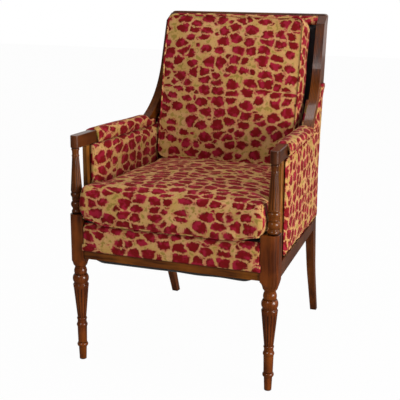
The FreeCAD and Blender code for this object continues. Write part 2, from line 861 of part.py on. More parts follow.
def corner_plan(rear):
    """Plan of the right front or right rear corner block."""
    inner = -side_rail_inner
    if rear:
        far = post_front - corner_block_leg
        y = post_front
        return [(side_plane_x(far, inner), far), (side_plane_x(y, inner), y),
                (side_plane_x(y, -post_thickness / 2), y),
                (side_plane_x(rear_rail_front, -post_thickness / 2), rear_rail_front),
                (side_plane_x(rear_rail_front, inner) - corner_block_leg, rear_rail_front)]
    near = face_y + front_rail_thickness
    far = block_rear_y + corner_block_leg
    return [(block_inner_x - corner_block_leg, near), (block_inner_x, near),
            (block_inner_x, block_rear_y), (side_plane_x(block_rear_y, inner), block_rear_y),
            (side_plane_x(far, inner), far)]


def corner_screws(rear, extra):
    """Two screws through the right front or right rear corner block, with room added all round."""
    plan = corner_plan(rear)
    start, end = plan[0], plan[-1]
    middle = rail_bottom + corner_block_lift + corner_block_height / 2
    share = 1 - screw_share if rear else screw_share
    seats = []
    for part, z in ((share, middle - screw_offset), (1 - share, middle + screw_offset)):
        seats.append(V(start[0] + part * (end[0] - start[0]), start[1] + part * (end[1] - start[1]), z))
    directions = (V(0, 1 if rear else -1, 0), V(1, 0, 0))
    reach = screw_head_height if extra == 0 else screw_driver_room
    screws = []
    for seat, direction in zip(seats, directions):
        head = seat + direction * screw_head_depth
        shank = Part.makeCylinder(screw_radius + extra, screw_length + extra, head, direction)
        cap_start = head - direction * (reach - screw_head_height)
        cap = Part.makeCylinder(screw_head_radius + extra, reach, cap_start, direction)
        screws.append(shank.fuse(cap))
    return screws


def all_screws(extra):
    right = corner_screws(False, extra) + corner_screws(True, extra)
    return right + [mirror_x(screw) for screw in right]


def corner_blocks():
    low = rail_bottom + corner_block_lift
    right = [plan_board(corner_plan(rear), 0, low, low + corner_block_height) for rear in (False, True)]
    screws = corner_screws(False, screw_clearance) + corner_screws(True, screw_clearance)
    holes = Part.makeCompound(screws)
    right = [piece.cut(holes) for piece in right]
    return Part.makeCompound(right + [mirror_x(piece) for piece in right])


def front_border():
    """Covered front of the seat, between the leg blocks, above the show-wood of the front rail."""
    low = rail_bottom + front_rail_show_height
    inner_y = face_y + border_thickness
    top = deck_front_height
    half = block_inner_x - soft_clearance
    return side_board([(face_y, low), (inner_y, low), (inner_y, top), (face_y, top)],
                      [0, 0, 0, border_edge_radius], -half, half)


def front_border_gimp():
    """Flat band that finishes the lower edge of the front border."""
    low = rail_bottom + front_rail_show_height
    half = block_inner_x - soft_clearance
    return block(-half, half, face_y - gimp_thickness, face_y, low, low + gimp_height)


def dust_cover():
    margin = dust_cover_margin
    gap = dust_cover_gap
    y_front = face_y + margin
    y_rear = post_rear - margin
    front_x = block_inner_x - gap
    knee_y = block_rear_y + gap
    side = side_rail_outer - margin
    post = -post_thickness / 2 - gap
    notch_y = post_front_in_plan - gap
    right = [(front_x, y_front), (front_x, knee_y), (side_plane_x(knee_y, side), knee_y),
             (side_plane_x(notch_y, side), notch_y), (side_plane_x(notch_y, post), notch_y),
             (side_plane_x(y_rear, post), y_rear)]
    outline = right + [(-x, y) for x, y in reversed(right)]
    return plan_board(outline, 0, rail_bottom - dust_cover_thickness, rail_bottom)


def behind_sweep(board, gap):
    """Cut a board back to the rear edge of the stile's sweep."""
    centre = sweep_centre()
    radius = sweep_radius + stile_depth + gap
    disc = Part.makeCylinder(radius, 200.0, V(-100.0, centre[0], centre[1]), V(1, 0, 0))
    return board.cut(disc)


def outside_arm_board(inner, outer, gap):
    """Covered outer side of the chair, from the side rail up to the arm and up behind the sweep."""
    front = stump_front + stump_depth - outside_arm_overlap
    show_slope = (side_rail_show_front - side_rail_show_rear) / (post_front - block_rear_y)
    bottom = rail_bottom + side_rail_show_front - show_slope * (front - block_rear_y)
    rear_bottom = rail_bottom + side_rail_show_rear
    under_arm = arm_bottom - soft_clearance
    lower = side_board([
        (front, bottom), (post_front, rear_bottom), (post_rear, rear_bottom), (post_rear, post_bend_height),
        (post_rear_y(under_arm), under_arm), (front, under_arm),
    ], [0, 0, 0, post_bend_radius, 0, 0], inner, outer)
    rear_low = post_rear_y(under_arm)
    rear_high = post_rear_y(outside_arm_top)
    start = sweep_y_at(sweep_radius + stile_depth, arm_core_top) + sweep_foot_length + gap
    upper = side_board([
        (start, under_arm), (rear_low, under_arm), (rear_high, outside_arm_top), (start, outside_arm_top),
    ], [0, 0, outside_arm_corner, 0], inner, outer)
    whole = lower.fuse(behind_sweep(upper, gap)).removeSplitter()
    rounded = plan_board([(inner, front), (outer, front), (outer, overall_depth), (inner, overall_depth)],
                         [0, outside_arm_edge, 0, 0], 0, overall_height)
    return whole.common(rounded)


def outside_arm_space():
    """Rebate in the post for the outer covering."""
    return outside_arm_board(stump_thickness / 2, outside_arm_outer + 10.0, 0)


def outside_arm():
    return outside_arm_board(stump_thickness / 2, outside_arm_outer, 0)


def inside_arm():
    """Padded inner side of the arm, from the deck up to the arm and up behind the sweep."""
    outer = -inside_arm_outer
    inner = -inside_arm_inner
    top = arm_bottom - soft_clearance
    gap = soft_clearance
    low_front = deck_z(inside_arm_front) + gap
    low_rear = deck_z(lean_foot_y) + gap
    rear_low_y = lean_plane_y(low_rear) - lean_clearance
    rear_mid_y = lean_plane_y(top) - lean_clearance
    rear_top_y = lean_plane_y(inside_arm_top) - lean_clearance
    lower = side_board([
        (inside_arm_front, low_front), (rear_low_y, low_rear), (rear_mid_y, top), (inside_arm_front, top),
    ], 0, inner, outer)
    start = sweep_y_at(sweep_radius + stile_depth, arm_core_top) + sweep_foot_length + gap
    upper = side_board([
        (start, top), (rear_mid_y, top), (rear_top_y, inside_arm_top), (start, inside_arm_top),
    ], 0, inner, outer)
    whole = lower.fuse(behind_sweep(upper, gap)).removeSplitter()
    front = inside_arm_front
    rounded = plan_board([(inner, front), (outer, front), (outer, post_rear), (inner, post_rear)],
                         [inside_arm_edge, 0, 0, 0], 0, overall_height)
    frame = block(-stile_thickness / 2 - gap, 0, arm_show_end, overall_depth, top, overall_height)
    return whole.common(rounded).cut(frame)


def pad_section(y, inset):
    low = arm_bottom
    high = low + pad_height - inset
    inner = -pad_inner + inset
    outer = pad_outer - inset
    return flat_outline([(inner, low), (outer, low), (outer, high), (inner, high)], [0, 0, pad_roll_radius, pad_roll_radius], lambda q: V(q[0], y, q[1]))


def arm_pad():
    """Padded roll over the arm, between the handhold cap and the sweep of the stile."""
    pad_rear = sweep_y_at(sweep_radius + stile_depth, arm_core_top) - pad_rear_setback
    soft = pad_end_length
    sections = [pad_section(arm_show_end, pad_end_inset), pad_section(arm_show_end + soft, 0),
                pad_section(pad_rear - soft, 0), pad_section(pad_rear, pad_end_inset)]
    roll = Part.makeLoft(sections, True, True)
    return roll.cut(arm_body()).cut(stile_space(0))


def inside_back():
    """Black padded panel that the loose back cushion leans on."""
    low_z = deck_z(lean_foot_y) + inside_back_gap
    top_z = post_top - inside_back_top_gap
    thick = lean_thickness_y + inside_back_gap
    board = side_board([
        (lean_plane_y(low_z), low_z), (lean_plane_y(low_z) + thick, low_z),
        (lean_plane_y(top_z) + thick, top_z), (lean_plane_y(top_z), top_z),
    ], 0, -side_x, side_x)
    return board.common(between_sides(-post_thickness / 2 - soft_clearance, low_z - 1, top_z + 1))


def inside_back_band():
    """Covered strip along the front of the crest, above the black panel."""
    low = post_top - inside_back_top_gap / 2
    crest_front_low = stile_line_y(stile_depth, low) - soft_clearance
    crest_front_top = stile_line_y(stile_depth, band_top) - soft_clearance
    board = side_board([
        (lean_plane_y(low), low), (crest_front_low, low), (crest_front_top, band_top),
        (lean_plane_y(band_top), band_top),
    ], [0, 0, 0, band_thickness], -side_x, side_x)
    return board.common(between_sides(-stile_thickness / 2 - soft_clearance, low - 1, band_top + 1))


def back_webbing():
    """Webbing straps behind the black panel, from the lower back rail to the crest."""
    low = lower_back_rail_bottom + back_webbing_end_gap
    high = post_top - back_webbing_end_gap
    edge = side_plane_x(lean_plane_y(high), -post_thickness / 2)
    span = edge - webbing_width / 2 - back_webbing_side_gap
    straps = []
    for index in range(back_webbing_count):
        x = -span + 2 * span * index / (back_webbing_count - 1)
        straps.append(side_board([
            (lean_rear_y(low) - webbing_thickness_y, low), (lean_rear_y(low), low),
            (lean_rear_y(high), high), (lean_rear_y(high) - webbing_thickness_y, high),
        ], 0, x - webbing_width / 2, x + webbing_width / 2))
    return Part.makeCompound(straps)


def outside_back():
    """Covered rear of the chair, flush with the rear edges of the posts."""
    low = rail_bottom + rear_rail_show_height + soft_clearance
    high = post_top - soft_clearance
    thick = outside_back_thickness
    board = side_board([
        (post_rear - thick, low), (post_rear, low), (post_rear, post_bend_height),
        (post_rear_y(high), high), (post_rear_y(high) - thick, high), (post_rear - thick, post_bend_height),
    ], [0, 0, post_bend_radius, 0, 0, post_bend_radius], -side_x, side_x)
    return board.common(between_sides(-post_thickness / 2 - soft_clearance, low - 1, high + 1))


def seat_cushion_outline(inset, height):
    """Outline of the seat cushion seen from above: straight between the blocks, then tapering."""
    arm = -inside_arm_inner - cushion_clearance
    half = min(block_inner_x - cushion_clearance, side_plane_x(inside_arm_front, arm)) - inset
    rear_half = side_plane_x(seat_cushion_rear, arm) - inset
    front = front_y + seat_cushion_front + inset
    knee = inside_arm_front + inset
    rear = seat_cushion_rear - inset
    right = [(half, front), (half, knee), (rear_half, rear)]
    points = right + [(-x, y) for x, y in reversed(right)]
    corner = seat_cushion_corner
    radii = [corner, seat_cushion_knee, corner, corner, seat_cushion_knee, corner]
    return flat_outline(points, radii, plan_place(height))


def back_cushion_foot_z():
    """Height of the back cushion's foot, which presses into the seat cushion's rear edge."""
    return deck_z(lean_foot_y) + seat_cushion_boxing - back_cushion_sink


def back_cushion_outline(inset, height):
    """Outline of the back cushion seen square to its face, with its foot at y = 0."""
    half = back_cushion_half_width - inset
    rise = overall_height - back_cushion_drop - back_cushion_foot_z()
    length = rise / math.cos(math.radians(lean_rake))
    points = [(half, inset), (half, length - inset), (-half, length - inset), (-half, inset)]
    foot = back_cushion_corner / 2
    return flat_outline(points, [foot, back_cushion_corner, back_cushion_corner, foot], plan_place(height))


def cushion_form(outline, boxing, crown, wall):
    """Cushion with a flat rear, upright boxing and a crowned face; wall is the distance inside its cover."""
    edge = cushion_edge_radius
    levels = []
    for step in range(4):
        angle = math.radians(30.0 * step)
        levels.append((edge / 2 * (1 - math.sin(angle)), edge / 2 * (1 - math.cos(angle))))
    for step in range(4):
        angle = math.radians(22.0 * step)
        levels.append((edge * (1 - math.cos(angle)), boxing - edge * (1 - math.sin(angle))))
    start_inset, start_height = levels[-1]
    for step in range(1, 6):
        share = step / 5
        rise = boxing + crown - start_height
        inset = start_inset + share * cushion_crown_reach
        levels.append((inset, start_height + rise * (1 - (1 - share) ** 2)))
    total = boxing + crown
    shrink = (total - 2 * wall) / total
    sections = [outline(inset + wall, wall + height * shrink) for inset, height in levels]
    return Part.makeLoft(sections, True, True)


def seat_cushion(wall):
    form = cushion_form(seat_cushion_outline, seat_cushion_boxing, seat_cushion_crown, wall)
    form.rotate(V(0, front_y, 0), V(1, 0, 0), -deck_pitch)
    form.translate(V(0, 0, deck_front_height + soft_clearance))
    return form


def back_cushion(wall):
    form = cushion_form(back_cushion_outline, back_cushion_boxing, back_cushion_crown, wall)
    foot_z = back_cushion_foot_z()
    form.rotate(V(0, 0, 0), V(1, 0, 0), 90.0 - lean_rake)
    form.translate(V(0, lean_plane_y(foot_z) - cushion_clearance, foot_z))
    return form


def fitted_front_leg():
    """Front leg with the mortises for its rails and the socket for the baluster, right side."""
    leg = front_leg()
    leg.translate(V(leg_x, leg_y, 0))
    depth = baluster_tenon_length + tenon_clearance
    seat = V(side_x, leg_y, block_top - depth)
    socket = Part.makeCylinder(baluster_tenon_radius + tenon_clearance, depth, seat)
    side_tenon = on_side(tenon_socket(side_rail_tenon(False)), "right")
    return leg.cut(socket).cut(tenon_socket(front_rail_tenon())).cut(side_tenon)


def build():
    screws = Part.makeCompound(all_screws(screw_clearance))

    leg = fitted_front_leg()
    keep("front_leg_right", leg)
    keep("front_leg_left", mirror_x(leg))
    post = baluster()
    post.translate(V(side_x, leg_y, 0))
    keep("arm_baluster_right", post)
    keep("arm_baluster_left", mirror_x(post))

    rail = on_side(side_rail().cut(tenon_socket(stump_tenon(False))), "right")
    rail = rail.cut(front_leg_block()).cut(screws)
    keep("side_seat_rail_right", rail)
    keep("side_seat_rail_left", mirror_x(rail))
    keep("front_seat_rail", front_seat_rail().cut(screws))
    keep("rear_seat_rail", rear_seat_rail().cut(screws))
    keep("corner_blocks", corner_blocks())
    keep("corner_block_screws", Part.makeCompound(all_screws(0)))

    keep_pair("rear_leg", rear_leg())
    keep_pair("swept_stile", stile())
    keep_pair("arm_rail", arm_rail())
    keep_pair("arm_stump", arm_stump())
    keep("stile_dowels", Part.makeCompound([on_side(dowel, side) for side in ("left", "right")
                                            for dowel in stile_dowels()]))
    keep("crest_rail", crest_rail())
    keep("lower_back_rail", lower_back_rail())

    base = -webbing_drop + 2 * webbing_thickness
    keep("seat_webbing", seat_webbing())
    keep("cross_webbing", cross_webbing())
    keep("deck_burlap", deck_layer(base, base + burlap_thickness))
    keep("deck_pad", deck_layer(base + burlap_thickness, 0))
    keep("dust_cover", dust_cover())

    keep("front_border", front_border())
    keep("front_border_gimp", front_border_gimp())
    keep_pair("inside_arm", inside_arm())
    keep_pair("outside_arm", outside_arm())
    keep_pair("arm_pad", arm_pad())
    keep("inside_back", inside_back())
    keep("inside_back_band", inside_back_band())
    keep("outside_back", outside_back())
    keep("back_webbing", back_webbing())

    for name, form in (("seat_cushion", seat_cushion), ("back_cushion", back_cushion)):
        core = form(cover_thickness)
        keep(name + "_cover", form(0).cut(core))
        keep(name + "_core", core)


def front_leg_block():
    """Room of the right front leg's block, so that a side rail's shoulder meets its rear face."""
    half = block_size / 2
    square = block(leg_x - half, leg_x + half, leg_y - half, leg_y + half, shoulder_height, block_top)
    return square.cut(on_side(tenon_socket(side_rail_tenon(False)), "right"))


build()
os.makedirs("parts", exist_ok=True)
for name, shape in pieces.items():
    shape.exportStep("parts/" + name + ".step")
    box = shape.BoundBox
    print(name, len(shape.Solids), "solids, valid", shape.isValid(),
          "volume", round(shape.Volume / 1000.0, 1), "cm3",
          "z", round(box.ZMin, 1), round(box.ZMax, 1))
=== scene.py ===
import math
import bmesh
import bpy
from mathutils import Matrix, Vector, noise


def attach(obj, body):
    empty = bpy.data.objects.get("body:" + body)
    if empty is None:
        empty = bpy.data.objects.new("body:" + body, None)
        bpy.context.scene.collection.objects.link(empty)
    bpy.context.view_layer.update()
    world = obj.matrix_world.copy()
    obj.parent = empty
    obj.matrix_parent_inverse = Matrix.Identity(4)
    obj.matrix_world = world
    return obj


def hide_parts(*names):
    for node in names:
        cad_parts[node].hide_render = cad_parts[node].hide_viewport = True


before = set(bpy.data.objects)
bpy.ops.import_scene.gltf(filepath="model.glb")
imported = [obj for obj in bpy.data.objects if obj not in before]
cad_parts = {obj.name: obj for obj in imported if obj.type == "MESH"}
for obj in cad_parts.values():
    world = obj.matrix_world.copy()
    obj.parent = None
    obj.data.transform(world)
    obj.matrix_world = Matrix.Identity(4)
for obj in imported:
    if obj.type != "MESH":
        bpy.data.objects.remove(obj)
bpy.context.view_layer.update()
scene = bpy.context.scene
scene.view_settings.view_transform = "Standard"
toeIn = math.tan(math.radians(3.6))      # the arms draw together towards the back
deckPitch = math.radians(2.0)
backLean = math.radians(12.5)


# camera, at the photograph's viewing angle
cameraFacts = {"place": (0.8788, -2.3994, 1.0668), "azimuth": 20.88, "elevation": 14.345, "roll": 0.237,
               "lens": 81.6, "sensor": 36, "farthest": 50}


def makeCamera(facts):
    azimuth, elevation, roll = (math.radians(facts[key]) for key in ("azimuth", "elevation", "roll"))
    back = Vector((math.sin(azimuth) * math.cos(elevation), -math.cos(azimuth) * math.cos(elevation),
                   math.sin(elevation)))
    right = Vector((math.cos(azimuth), math.sin(azimuth), 0))
    up = back.cross(right)
    across = right * math.cos(roll) + up * math.sin(roll)
    above = up * math.cos(roll) - right * math.sin(roll)
    lens = bpy.data.cameras.new("viewCamera")
    lens.lens = facts["lens"]
    lens.sensor_width = facts["sensor"]
    lens.clip_end = facts["farthest"]
    holder = bpy.data.objects.new("viewCamera", lens)
    scene.collection.objects.link(holder)
    turn = Matrix((across, above, back)).transposed().to_4x4()
    holder.matrix_world = Matrix.Translation(facts["place"]) @ turn
    scene.camera = holder


makeCamera(cameraFacts)
print("camera placed")


# small helpers for node trees
def addNode(tree, kind, **settings):
    made = tree.nodes.new(kind)
    for key, value in settings.items():
        setattr(made, key, value)
    return made


def plug(tree, value, socket):
    if isinstance(value, bpy.types.NodeSocket):
        tree.links.new(value, socket)
    else:
        socket.default_value = value


def calc(tree, operation, first, second=0.0, clamp=False):
    made = addNode(tree, "ShaderNodeMath", operation=operation, use_clamp=clamp)
    plug(tree, first, made.inputs[0])
    plug(tree, second, made.inputs[1])
    return made.outputs[0]


def remap(tree, value, low, high, toLow=0.0, toHigh=1.0):
    made = addNode(tree, "ShaderNodeMapRange", interpolation_type="SMOOTHSTEP")
    plug(tree, value, made.inputs["Value"])
    for name, number in (("From Min", low), ("From Max", high), ("To Min", toLow), ("To Max", toHigh)):
        plug(tree, number, made.inputs[name])
    return made.outputs["Result"]


def blendColour(tree, share, first, second, how="MIX"):
    made = addNode(tree, "ShaderNodeMix", data_type="RGBA", blend_type=how)
    plug(tree, share, made.inputs["Factor"])
    plug(tree, first, made.inputs["A"])
    plug(tree, second, made.inputs["B"])
    return made.outputs["Result"]


def stretch(tree, vector, scale):
    made = addNode(tree, "ShaderNodeVectorMath", operation="MULTIPLY")
    plug(tree, vector, made.inputs[0])
    made.inputs[1].default_value = scale
    return made.outputs[0]


def cloud(tree, vector, scale, detail=2.0, roughness=0.5, flat=False):
    made = addNode(tree, "ShaderNodeTexNoise", noise_dimensions="2D" if flat else "3D")
    plug(tree, vector, made.inputs["Vector"])
    made.inputs["Scale"].default_value = scale
    made.inputs["Detail"].default_value = detail
    made.inputs["Roughness"].default_value = roughness
    return made


def newMaterial(name):
    material = bpy.data.materials.new(name)
    material.use_nodes = True
    tree = material.node_tree
    return material, tree, tree.nodes["Principled BSDF"]


def addBump(tree, shader, height, depth, strength):
    bump = addNode(tree, "ShaderNodeBump")
    bump.inputs["Strength"].default_value = strength
    bump.inputs["Distance"].default_value = depth
    plug(tree, height, bump.inputs["Height"])
    tree.links.new(bump.outputs["Normal"], shader.inputs["Normal"])


# mahogany, with the grain along one axis
woodFacts = {
    "dark": (0.030, 0.0058, 0.0006, 1), "middle": (0.102, 0.0215, 0.0014, 1),
    "light": (0.175, 0.0470, 0.0034, 1),
    "figure": 9.0, "wave": 14.0, "waveReach": 0.012, "grainDepth": 0.0002,
    "grainAcross": 95.0, "grainAlong": 5.0, "poreAcross": 620.0, "poreAlong": 30.0,
    "roughness": (0.27, 0.40), "coat": 0.32, "coatRoughness": 0.08, "specular": 0.20,
    # painted shade: reach and dark colour of the shade painted in hollows, and how strongly it is painted
    # between the reeds
    "hollow": 0.007, "hollowShade": (0.014, 0.0028, 0.0005, 1), "grooveShade": 0.88,
}


def axisOf(name, low, high):
    # upright axis of a turned piece, between two heights
    places = [vert.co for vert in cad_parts[name].data.vertices if low <= vert.co.z <= high]
    middles = [(min(axis) + max(axis)) / 2 for axis in zip(*places)]
    return abs(middles[0]), middles[1]


def turnedGrooves(axis, low, high):
    # painted shade in the twelve hollows between the reeds of a turning
    def grooves(tree, place):
        parts = addNode(tree, "ShaderNodeSeparateXYZ")
        tree.links.new(place, parts.inputs[0])
        across = calc(tree, "SUBTRACT", calc(tree, "ABSOLUTE", parts.outputs[0]), axis[0])
        angle = calc(tree, "ARCTAN2", calc(tree, "SUBTRACT", parts.outputs[1], axis[1]), across)
        wave = calc(tree, "ABSOLUTE", calc(tree, "SINE", calc(tree, "MULTIPLY", angle, 6.0)))
        within = calc(tree, "MULTIPLY", remap(tree, parts.outputs[2], low, low + 0.002),
                      remap(tree, parts.outputs[2], high - 0.002, high, 1.0, 0.0))
        return calc(tree, "MULTIPLY", remap(tree, wave, 0.05, 0.70, 1.0, 0.0), within)
    return grooves


def stileLine(name):
    # centre line of a swept stile: where its foot stands, and its drift towards the middle
    ends = []
    for low, high in ((0.0, 0.66), (0.84, 1.0)):
        places = [vert.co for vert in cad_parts[name].data.vertices if low < vert.co.z < high]
        ends.append([(min(axis) + max(axis)) / 2 for axis in zip(*places)])
    return ends[0][0], ends[0][1], (ends[1][0] - ends[0][0]) / (ends[1][1] - ends[0][1])


def stileGrooves(tree, place):
    # painted shade in the hollows between the reeds along the front of a swept stile
    footX, footY, drift = stileLine("swept_stile_right")
    parts = addNode(tree, "ShaderNodeSeparateXYZ")
    tree.links.new(place, parts.inputs[0])
    lead = calc(tree, "MULTIPLY", calc(tree, "SUBTRACT", parts.outputs[1], footY), -drift)
    across = calc(tree, "SUBTRACT", calc(tree, "ADD", calc(tree, "ABSOLUTE", parts.outputs[0]), lead), footX)
    wave = calc(tree, "ABSOLUTE", calc(tree, "SINE", calc(tree, "MULTIPLY", across, math.pi / 0.004525)))
    facing = addNode(tree, "ShaderNodeSeparateXYZ")
    tree.links.new(addNode(tree, "ShaderNodeTexCoord").outputs["Normal"], facing.inputs[0])
    within = calc(tree, "MULTIPLY", remap(tree, calc(tree, "ABSOLUTE", across), 0.0100, 0.0106, 1.0, 0.0),
                  remap(tree, facing.outputs[1], -0.35, -0.15, 1.0, 0.0))
    return calc(tree, "MULTIPLY", remap(tree, wave, 0.05, 0.80, 1.0, 0.0), within)


def mahogany(name, axis, facts, grooves=None):
    material, tree, shader = newMaterial(name)
    place = addNode(tree, "ShaderNodeTexCoord").outputs["Object"]
    grain = [facts["grainAcross"]] * 3
    grain[axis] = facts["grainAlong"]
    pore = [facts["poreAcross"]] * 3
    pore[axis] = facts["poreAlong"]
    figure = cloud(tree, place, facts["figure"], 3.0).outputs["Fac"]
    bend = addNode(tree, "ShaderNodeVectorMath", operation="SCALE")
    tree.links.new(cloud(tree, place, facts["wave"], 2.0).outputs["Color"], bend.inputs[0])
    bend.inputs["Scale"].default_value = facts["waveReach"]
    bent = addNode(tree, "ShaderNodeVectorMath", operation="ADD")
    tree.links.new(place, bent.inputs[0])
    tree.links.new(bend.outputs[0], bent.inputs[1])
    streak = cloud(tree, stretch(tree, bent.outputs[0], grain), 1.0, 5.0, 0.6).outputs["Fac"]
    fine = cloud(tree, stretch(tree, bent.outputs[0], pore), 1.0, 3.0, 0.6).outputs["Fac"]
    tone = blendColour(tree, remap(tree, streak, 0.30, 0.70), facts["dark"], facts["middle"])
    tone = blendColour(tree, remap(tree, figure, 0.35, 0.75, 0.0, 0.75), tone, facts["light"])
    tone = blendColour(tree, remap(tree, fine, 0.56, 0.72, 0.0, 0.55), tone, facts["dark"])
    # painted shade: the wood turns dark where ambient occlusion finds a hollow
    hollow = addNode(tree, "ShaderNodeAmbientOcclusion", samples=8)
    hollow.inputs["Distance"].default_value = facts["hollow"]
    tone = blendColour(tree, remap(tree, hollow.outputs["AO"], 0.55, 0.97), facts["hollowShade"], tone)
    # painted shade: the hollows between the reeds are painted dark
    if grooves:
        grooveShadeMask = grooves(tree, place)
        tone = blendColour(tree, calc(tree, "MULTIPLY", grooveShadeMask, facts["grooveShade"]), tone, facts["hollowShade"])
    tree.links.new(tone, shader.inputs["Base Color"])
    low, high = facts["roughness"]
    tree.links.new(remap(tree, streak, 0.3, 0.7, low, high), shader.inputs["Roughness"])
    shader.inputs["Specular IOR Level"].default_value = facts["specular"]
    shader.inputs["Coat Weight"].default_value = facts["coat"]
    shader.inputs["Coat Roughness"].default_value = facts["coatRoughness"]
    addBump(tree, shader, calc(tree, "ADD", streak, fine), facts["grainDepth"], 0.35)
    return material


# printed chenille: ragged crimson blots on a gold ground
printFacts = {
    "cell": (0.0440, 0.0325), "smallest": 0.32, "largest": 0.52, "gap": 0.085, "loose": 0.74, "uneven": 0.062,
    "smallCell": (0.0240, 0.0190), "smallSmallest": -0.4, "smallLargest": 0.46, "smallGap": 0.1,
    "smallLoose": 0.9, "smallShare": 0.50,
    "wander": 0.016, "ragged": 0.0056, "fringe": 0.0016, "flame": 0.0062,
    "crimson": (0.165, 0.0030, 0.0046, 1), "magenta": (0.290, 0.0100, 0.0290, 1),
    "rim": (0.090, 0.0032, 0.0014, 1), "halo": (0.440, 0.130, 0.070, 1), "gold": (0.440, 0.262, 0.078, 1),
    "tan": (0.500, 0.280, 0.112, 1), "olive": (0.240, 0.165, 0.030, 1),
    "sheen": 0.07, "sheenTint": (1.0, 0.70, 0.56, 1), "sheenRoughness": 0.35,
    "specular": 0.12, "roughness": 0.9,
}
# how fine each unevenness of the print is, in waves per metre
printScales = {"wander": 22.0, "ragged": 85.0, "flame": (330.0, 34.0, 1.0), "fringe": 420.0, "uneven": 110.0,
               "threads": (420.0, 1300.0, 1.0), "olive": 62.0, "drift": 19.0, "halo": 80.0, "blush": 48.0}


def nudge(tree, vector, source, amount):
    centre = addNode(tree, "ShaderNodeVectorMath", operation="SUBTRACT")
    tree.links.new(source, centre.inputs[0])
    centre.inputs[1].default_value = (0.5, 0.5, 0.5)
    push = addNode(tree, "ShaderNodeVectorMath", operation="MULTIPLY_ADD")
    tree.links.new(centre.outputs[0], push.inputs[0])
    push.inputs[1].default_value = amount
    tree.links.new(vector, push.inputs[2])
    return push.outputs[0]


def blots(tree, place, cell, smallest, largest, gap, loose):
    # how deep a point lies inside a blot, and a random colour for each blot
    cells = stretch(tree, place, (1 / cell[0], 1 / cell[1], 1.0))
    near = addNode(tree, "ShaderNodeTexVoronoi", voronoi_dimensions="2D", feature="F1")
    edge = addNode(tree, "ShaderNodeTexVoronoi", voronoi_dimensions="2D", feature="DISTANCE_TO_EDGE")
    for made in (near, edge):
        tree.links.new(cells, made.inputs["Vector"])
        made.inputs["Scale"].default_value = 1.0
        made.inputs["Randomness"].default_value = loose
    chance = addNode(tree, "ShaderNodeSeparateColor")
    tree.links.new(near.outputs["Color"], chance.inputs[0])
    size = remap(tree, calc(tree, "POWER", chance.outputs[0], 0.6), 0.0, 1.0, smallest, largest)
    inside = calc(tree, "SUBTRACT", size, near.outputs["Distance"])
    clear = calc(tree, "SUBTRACT", edge.outputs["Distance"], gap)
    joined = addNode(tree, "ShaderNodeMath", operation="SMOOTH_MIN")
    tree.links.new(inside, joined.inputs[0])
    tree.links.new(clear, joined.inputs[1])
    joined.inputs[2].default_value = 0.06
    return joined.outputs[0], chance.outputs


def printedCloth(name, facts, scales):
    material, tree, shader = newMaterial(name)
    cloth = addNode(tree, "ShaderNodeUVMap", uv_map="cloth").outputs["UV"]

    def flatCloud(scale, detail=2.0):
        return cloud(tree, cloth, scale, detail, flat=True)

    place = nudge(tree, cloth, flatCloud(scales["wander"], 1.0).outputs["Color"], (facts["wander"],) * 3)
    calm = nudge(tree, place, flatCloud(scales["ragged"]).outputs["Color"], (facts["ragged"],) * 3)
    flame = cloud(tree, stretch(tree, cloth, scales["flame"]), 1.0, 2.0, 0.6, flat=True).outputs["Color"]
    place = nudge(tree, calm, flame, (0.0015, facts["flame"], 0))
    place = nudge(tree, place, flatCloud(scales["fringe"]).outputs["Color"], (facts["fringe"],) * 3)
    sizes = [facts[key] for key in ("cell", "smallest", "largest", "gap", "loose")]
    depth = blots(tree, place, *sizes)[0]
    uneven = flatCloud(scales["uneven"]).outputs["Fac"]
    depth = calc(tree, "ADD", depth, remap(tree, uneven, 0.2, 0.8, -facts["uneven"], facts["uneven"]))
    sizes = [facts[key] for key in ("smallCell", "smallSmallest", "smallLargest", "smallGap", "smallLoose")]
    little, luck = blots(tree, calm, *sizes)
    room = calc(tree, "SUBTRACT", -0.12, depth)
    kept = remap(tree, luck[1], facts["smallShare"], facts["smallShare"] + 0.05, -1.0, 0.0)
    little = calc(tree, "MINIMUM", calc(tree, "ADD", little, kept), room)
    depth = calc(tree, "MAXIMUM", depth, calc(tree, "MULTIPLY", little, 0.6))

    threads = cloud(tree, stretch(tree, cloth, scales["threads"]), 1.0, 2.0, 0.6, flat=True).outputs["Fac"]
    patches = flatCloud(scales["olive"]).outputs["Fac"]
    drift = flatCloud(scales["drift"], 1.0).outputs["Fac"]
    ground = blendColour(tree, remap(tree, drift, 0.35, 0.65), facts["gold"], facts["tan"])
    away = remap(tree, depth, -0.09, -0.20)
    oliveShare = calc(tree, "MULTIPLY", remap(tree, patches, 0.50, 0.60, 0.0, 0.85), away)
    ground = blendColour(tree, oliveShare, ground, facts["olive"])
    mottle = remap(tree, flatCloud(scales["halo"]).outputs["Fac"], 0.36, 0.60, 0.10, 0.90)
    haloShare = calc(tree, "MULTIPLY", remap(tree, depth, -0.15, -0.02), mottle)
    ground = blendColour(tree, haloShare, ground, facts["halo"])
    spot = blendColour(tree, remap(tree, depth, 0.01, 0.12), facts["rim"], facts["crimson"])
    blush = calc(tree, "MULTIPLY", remap(tree, flatCloud(scales["blush"]).outputs["Fac"], 0.46, 0.64), 0.9)
    spot = blendColour(tree, blush, spot, facts["magenta"])
    tone = blendColour(tree, remap(tree, depth, -0.045, 0.035), ground, spot)
    grey = addNode(tree, "ShaderNodeCombineColor")
    shade = remap(tree, threads, 0.25, 0.75, 0.80, 1.20)
    for index in range(3):
        tree.links.new(shade, grey.inputs[index])
    tree.links.new(blendColour(tree, 1.0, tone, grey.outputs[0], "MULTIPLY"), shader.inputs["Base Color"])
    shader.inputs["Roughness"].default_value = facts["roughness"]
    shader.inputs["Specular IOR Level"].default_value = facts["specular"]
    shader.inputs["Sheen Weight"].default_value = facts["sheen"]
    shader.inputs["Sheen Roughness"].default_value = facts["sheenRoughness"]
    shader.inputs["Sheen Tint"].default_value = facts["sheenTint"]
    addBump(tree, shader, calc(tree, "ADD", threads, remap(tree, depth, -0.03, 0.05, 0.0, 0.8)), 0.0006, 0.5)
    return material


